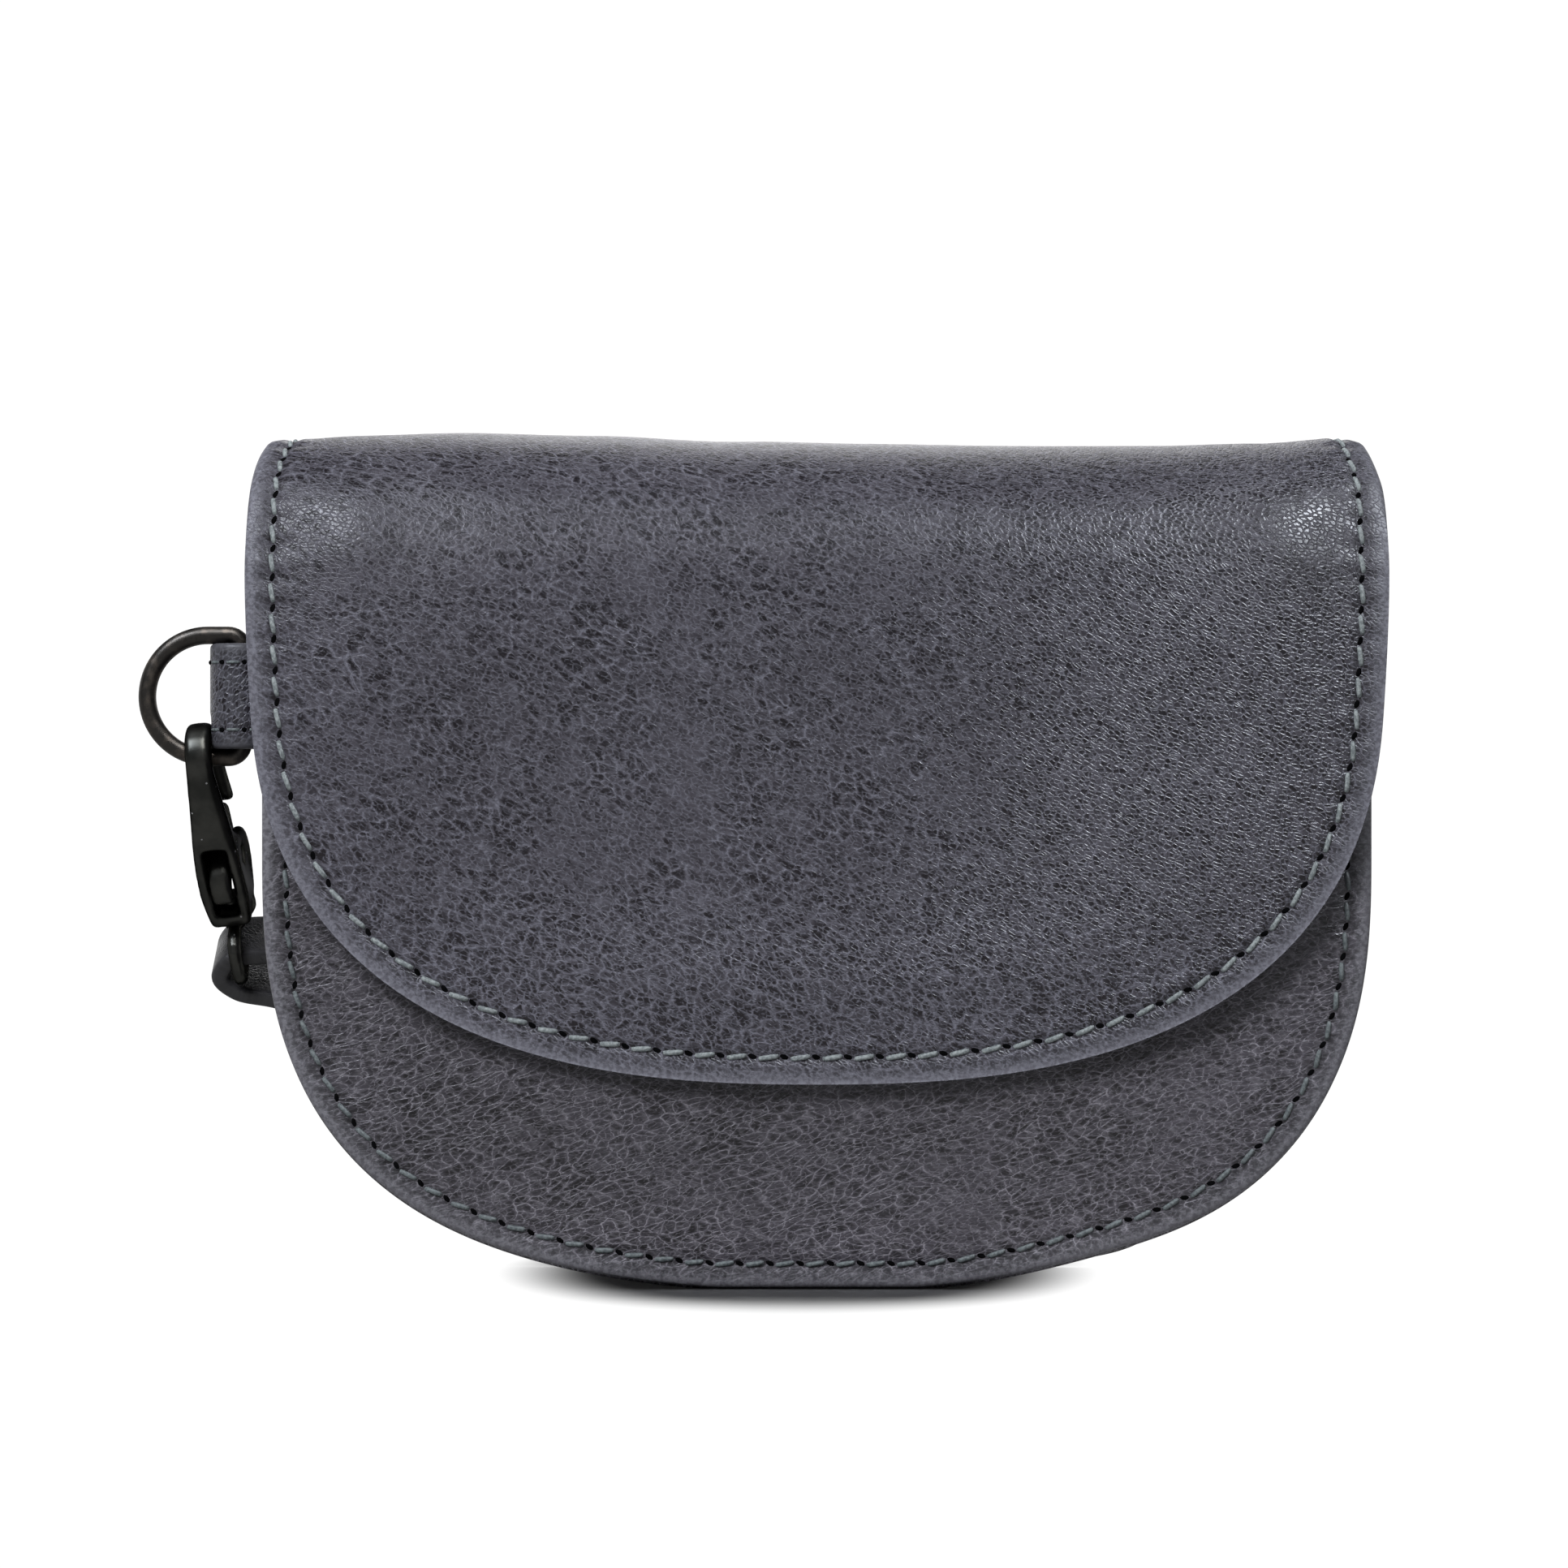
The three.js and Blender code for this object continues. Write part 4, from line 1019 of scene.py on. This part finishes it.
def hideColour(hide, look, zone, grain):
    rim, seam = zone["rim"], look["seam"]
    colour = darkCells(hide, look, zone, grain).tint(look["middle"], look["cell"])
    colour = paleNet(hide, look, zone, grain).tint(colour, look["net"])
    streak = hide.turned(-32).scaled((0.3, 1.0, 1.0)).noise(0.8, 3.0, 0.6).fade(0.45, 0.8)
    colour = (streak * zone["plain"] * 0.25).tint(colour, look["net"])
    # pale lightens the low end: on the panel it is painted light, the floor's bounce on its lower part, and
    # the flap's lower part is made lighter; lean is painted light from the right, lightening the panel
    # towards its right side
    first, last, amount = look["pale"]
    pale = zone["s"].fade(first, last) * amount + zone["x"].fade(-10.0, 60.0) * look["lean"]
    # the worn pale lip, lighter also as a painted highlight on its rounded edge
    wornEdgeAndHighlight = (1 - rim.fade(0.2, look["wornEdgeAndHighlightTo"])) * (0.3 + zone["thin"] * 0.5)
    colour = wornEdgeAndHighlight.tint(pale.gain(colour), look["wornEdgeAndHighlight"])
    margin = rim.between(0.9, 1.6, 2.6, 3.4) * hide.noise(look["mottle"], 3.0, 0.6).fade(0.42, 0.6)
    # painted shade: the hide darkens along the sewn line, as in the shaded groove the stitches lie in
    sewn = rim.between(seam - 1.0, seam - 0.2, seam + 0.2, seam + 1.2)
    return (margin * look["edge"] + sewn * look["sewn"]).tint(colour, look["cell"])


def hideHeight(hide, look, zone, grain):
    height = grain["pebble"].fade(0.0, 0.16) * zone["patch"] * look["pebbleBump"]
    height = height + grain["fine"].fade(0.0, 0.26) * (0.25 + zone["side"] * 0.35)
    rimmed = zone["plain"] * (0.4 + zone["rim"].fade(0.8, 4.5) * 0.6)
    return height * (1 - zone["calm"] * 0.45) * rimmed + hide.noise(0.4, 3.0, 0.6) * 0.3


# matter at the rim and in the cracks of the shoulder's ends
def hideRough(hide, zone, grain):
    rough = 0.27 + hide.noise(2.4, 3.0) * 0.09 + zone["thin"] * 0.04
    rough = rough + (1 - zone["rim"].fade(1.0, 5.0)) * 0.14
    return rough + (1 - grain["fine"].fade(0.02, 0.16)) * zone["ends"] * 0.45


def leatherFinish(name, pieces, look):
    start = newFinish(name, pieces)
    hide = start.node("Attribute", {"attribute_name": "hide"}, {}, 1)
    zone, grain = hideZones(hide, look), hideGrain(hide, look)
    height = hideHeight(hide, look, zone, grain)
    bump = start.node("Bump", {}, {"Strength": 1.0, "Distance": look["bump"] * mm, "Height": height})
    closeFinish(start, {
        "Base Color": hideColour(hide, look, zone, grain), "Roughness": hideRough(hide, zone, grain),
        "Specular IOR Level": 0.5, "Normal": bump,
    })


leatherFinish("pebbled_leather", [backFlap], flapLook)
leatherFinish("creased_leather", [frontPanel, gussetWall], panelLook)
leatherFinish("tab_leather", [ringTab], tabLook)
leatherFinish("strap_leather_painted_shade", [wristStrap], strapShadeLook)


# noise over a piece's own coordinates, in waves to a metre
def spotNoise(start, scale, detail=2.0, rough=0.5):
    spot = start.node("TexCoord", {}, {}, 3)
    return start.node("TexNoise", {}, {"Vector": spot, "Scale": scale, "Detail": detail, "Roughness": rough})


def threadFinish(name, pieces, pale, deep):
    start = newFinish(name, pieces)
    fibre = spotNoise(start, 2600.0)
    colour = fibre.fade(0.3, 0.7).tint(deep, pale)
    bump = start.node("Bump", {}, {"Strength": 0.6, "Distance": 0.05 * mm, "Height": fibre})
    closeFinish(start, {"Base Color": colour, "Roughness": 0.62, "Normal": bump})


threadFinish("flap_thread", [flapSewing], rgb(0.28, 0.315, 0.325), rgb(0.125, 0.145, 0.155))
threadFinish("panel_thread", [panelSewing, tabSewing], rgb(0.15, 0.175, 0.185), rgb(0.065, 0.078, 0.085))


def slitFinish(pieces):
    start = newFinish("painted_shade_slit", pieces)
    # near-black and without gloss: painted shade in the needle holes
    colour = spotNoise(start, 900.0).tint(rgb(0.001, 0.001, 0.001), rgb(0.006, 0.006, 0.007))
    closeFinish(start, {"Base Color": colour, "Roughness": 1.0, "Specular IOR Level": 0.0})


slitFinish([flapSlits, panelSlits, tabSlits])


def ringFinish(pieces):
    start = newFinish("bronzed_wire", pieces)
    wear = spotNoise(start, 420.0, 4.0, 0.6)
    fleck = spotNoise(start, 1900.0, 3.0)
    colour = (wear.fade(0.42, 0.7) * 0.8).tint(rgb(0.064, 0.060, 0.056), rgb(0.150, 0.128, 0.110))
    colour = (fleck.fade(0.55, 0.8) * 0.5).tint(colour, rgb(0.03, 0.027, 0.025))
    rough = 0.30 + wear * 0.22
    bump = start.node("Bump", {}, {"Strength": 0.3, "Distance": 0.02 * mm, "Height": fleck})
    closeFinish(start, {"Base Color": colour, "Metallic": 1.0, "Roughness": rough, "Normal": bump})


ringFinish([dRing])


def claspFinish(pieces):
    start = newFinish("gunmetal", pieces)
    haze = spotNoise(start, 300.0, 3.0)
    grid = {"Vector": start.node("TexCoord", {}, {}, 3), "Scale": 900.0}
    dust = start.node("TexVoronoi", {"feature": "F1"}, grid)
    pick = start.node("TexVoronoi", {"feature": "F1"}, grid, 1).split()[0]
    speck = (1 - dust.fade(0.08, 0.16)) * pick.fade(0.90, 0.92)
    colour = haze.fade(0.3, 0.7).tint(rgb(0.042, 0.043, 0.040), rgb(0.074, 0.074, 0.068))
    colour = speck.tint(colour, rgb(0.6, 0.6, 0.62))
    rough = 0.29 + haze * 0.14 + speck * 0.4
    edge = rgb(0.18, 0.18, 0.19)
    closeFinish(start, {"Base Color": colour, "Metallic": 1.0, "Roughness": rough, "Specular Tint": edge})


claspFinish([claspHook, claspLever, swivel, leverPin, snapDisc])
print("finishes", len(bpy.data.materials))

# studio, in metres: a pale floor with its own soft light, a pale sky, darker overhead, and soft boxes
studio = {
    "floor": 40.0, "paper": 0.5, "backdrop": 1.06, "behind": (-0.2, 0.5), "room": 0.12,
    "zenith": 0.06, "overhead": (0.1, 0.6), "floorLight": 6.6, "floorSoft": 24.0, "floorTilt": -12.5,
    "bounce": 0.38, "glint": (0.87, 0.92, 1.0), "aim": Vector((bagMiddle.x, bagMiddle.y, 0.06)),
    "footX": 0.006, "footY": 0.005, "footWide": 0.043, "footDeep": 0.056, "footFade": (0.4, 1.0),
}
bm = bmesh.new()
bmesh.ops.create_grid(bm, x_segments=1, y_segments=1, size=studio["floor"] / 2)
floorMesh = bpy.data.meshes.new("floor")
bm.to_mesh(floorMesh)
bm.free()
floor = bpy.data.objects.new("floor", floorMesh)
bpy.context.scene.collection.objects.link(floor)


def grey(level):
    return rgb(level, level, level)


# the paper glows white, but for a soft patch round the foot where the bag shades it
def paperFinish():
    start = newFinish("floor_paper", [floor])
    across, away, _ = start.node("TexCoord", {}, {}, 3).split()
    beside = (across - studio["footX"]) * (1 / studio["footWide"])
    before = (away - studio["footY"]) * (1 / studio["footDeep"])
    glow = (beside * beside + before * before).fade(*studio["footFade"])
    seen = start.node("LightPath", {}, {}, 0)
    bright = seen.tint(grey(studio["bounce"]), grey(studio["backdrop"]))
    closeFinish(start, {
        "Base Color": glow.tint(grey(studio["paper"]), grey(0)), "Roughness": 0.9, "Specular IOR Level": 0.0,
        "Emission Color": glow.tint(grey(0), bright), "Emission Strength": 1.0,
    })


paperFinish()

world = bpy.data.worlds.new("studio")
bpy.context.scene.world = world
world.use_nodes = True
world.node_tree.nodes.clear()
sky = Strand(world.node_tree)
_, away, up = sky.node("TexCoord", {}, {}, 0).split()
level = away.fade(*studio["behind"]) * (studio["backdrop"] - studio["room"]) + studio["room"]
shade = up.fade(*studio["overhead"]) * (studio["zenith"] - level) + level
seen = sky.node("LightPath", {}, {}, 0)
shade = seen * (studio["backdrop"] - shade) + shade
light = sky.node("Background", {}, {"Color": grey(1), "Strength": shade})
sky.node("OutputWorld", {}, {"Surface": light})


def addLight(name, kind, settings):
    data = bpy.data.lights.new(name, kind)
    for key, value in settings.items():
        setattr(data, key, value)
    lamp = bpy.data.objects.new(name, data)
    bpy.context.scene.collection.objects.link(lamp)
    lamp.visible_camera = False
    return lamp


def softBox(name, azimuth, elevation, distance, size, power):
    lamp = addLight(name, "AREA", {"shape": "DISK", "size": size, "energy": power})
    a, e = math.radians(azimuth), math.radians(elevation)
    away = Vector((math.sin(a) * math.cos(e), -math.cos(a) * math.cos(e), math.sin(e)))
    lamp.location = studio["aim"] + away * distance
    lamp.rotation_euler = away.to_track_quat("Z", "Y").to_euler()
    return lamp


# the side boxes show only as highlights, and the front and top ones only as plain light
leftBox = softBox("left_box", azimuth=-48, elevation=46, distance=0.95, size=0.3, power=5.8)
rightBox = softBox("right_box", azimuth=54, elevation=47, distance=0.95, size=0.36, power=13.8)
frontBox = softBox("front_box", azimuth=-28, elevation=38, distance=1.2, size=0.6, power=15.6)
topBox = softBox("top_box", azimuth=180, elevation=68, distance=1.0, size=0.5, power=6.0)
backBox = softBox("back_box", azimuth=180, elevation=28, distance=0.95, size=0.4, power=0.8)
metalBox = softBox("metal_box", azimuth=8, elevation=58, distance=0.8, size=0.45, power=7.4)
for glint in (leftBox, rightBox):
    glint.visible_diffuse = False
    glint.data.color = studio["glint"]
for fill in (frontBox, topBox):
    fill.visible_glossy = False
floorSoft = math.radians(studio["floorSoft"])
floorLight = addLight("floor_light", "SUN", {"energy": studio["floorLight"], "angle": floorSoft})
floorLight.rotation_euler = (math.radians(studio["floorTilt"]), 0, 0)


# the floor has its own light, the boxes light only what stands on it, and one box is for the metal alone
def linkReach(name, lamps, pieces, state):
    lit = bpy.data.collections.new(name)
    for piece in pieces:
        lit.objects.link(piece)
    for member in lit.collection_objects:
        member.light_linking.link_state = state
    for lamp in lamps:
        lamp.light_linking.receiver_collection = lit


linkReach("floor_light_reach", [floorLight], [floor], "INCLUDE")
linkReach("box_reach", [leftBox, rightBox, frontBox, topBox, backBox], [floor], "EXCLUDE")
linkReach("metal_reach", [metalBox], [dRing, claspHook, claspLever, swivel, leverPin], "INCLUDE")

bpy.context.scene.view_settings.view_transform = "Standard"

# level, straight at the front
shot = {"place": (0.00415, -0.62553, 0.067), "lens": 105.1, "sensor": 36}
camera = bpy.data.objects.new("camera", bpy.data.cameras.new("camera"))
bpy.context.scene.collection.objects.link(camera)
camera.location = shot["place"]
camera.rotation_euler = (math.pi / 2, 0, 0)
camera.data.lens = shot["lens"]
camera.data.sensor_width = shot["sensor"]
bpy.context.scene.camera = camera
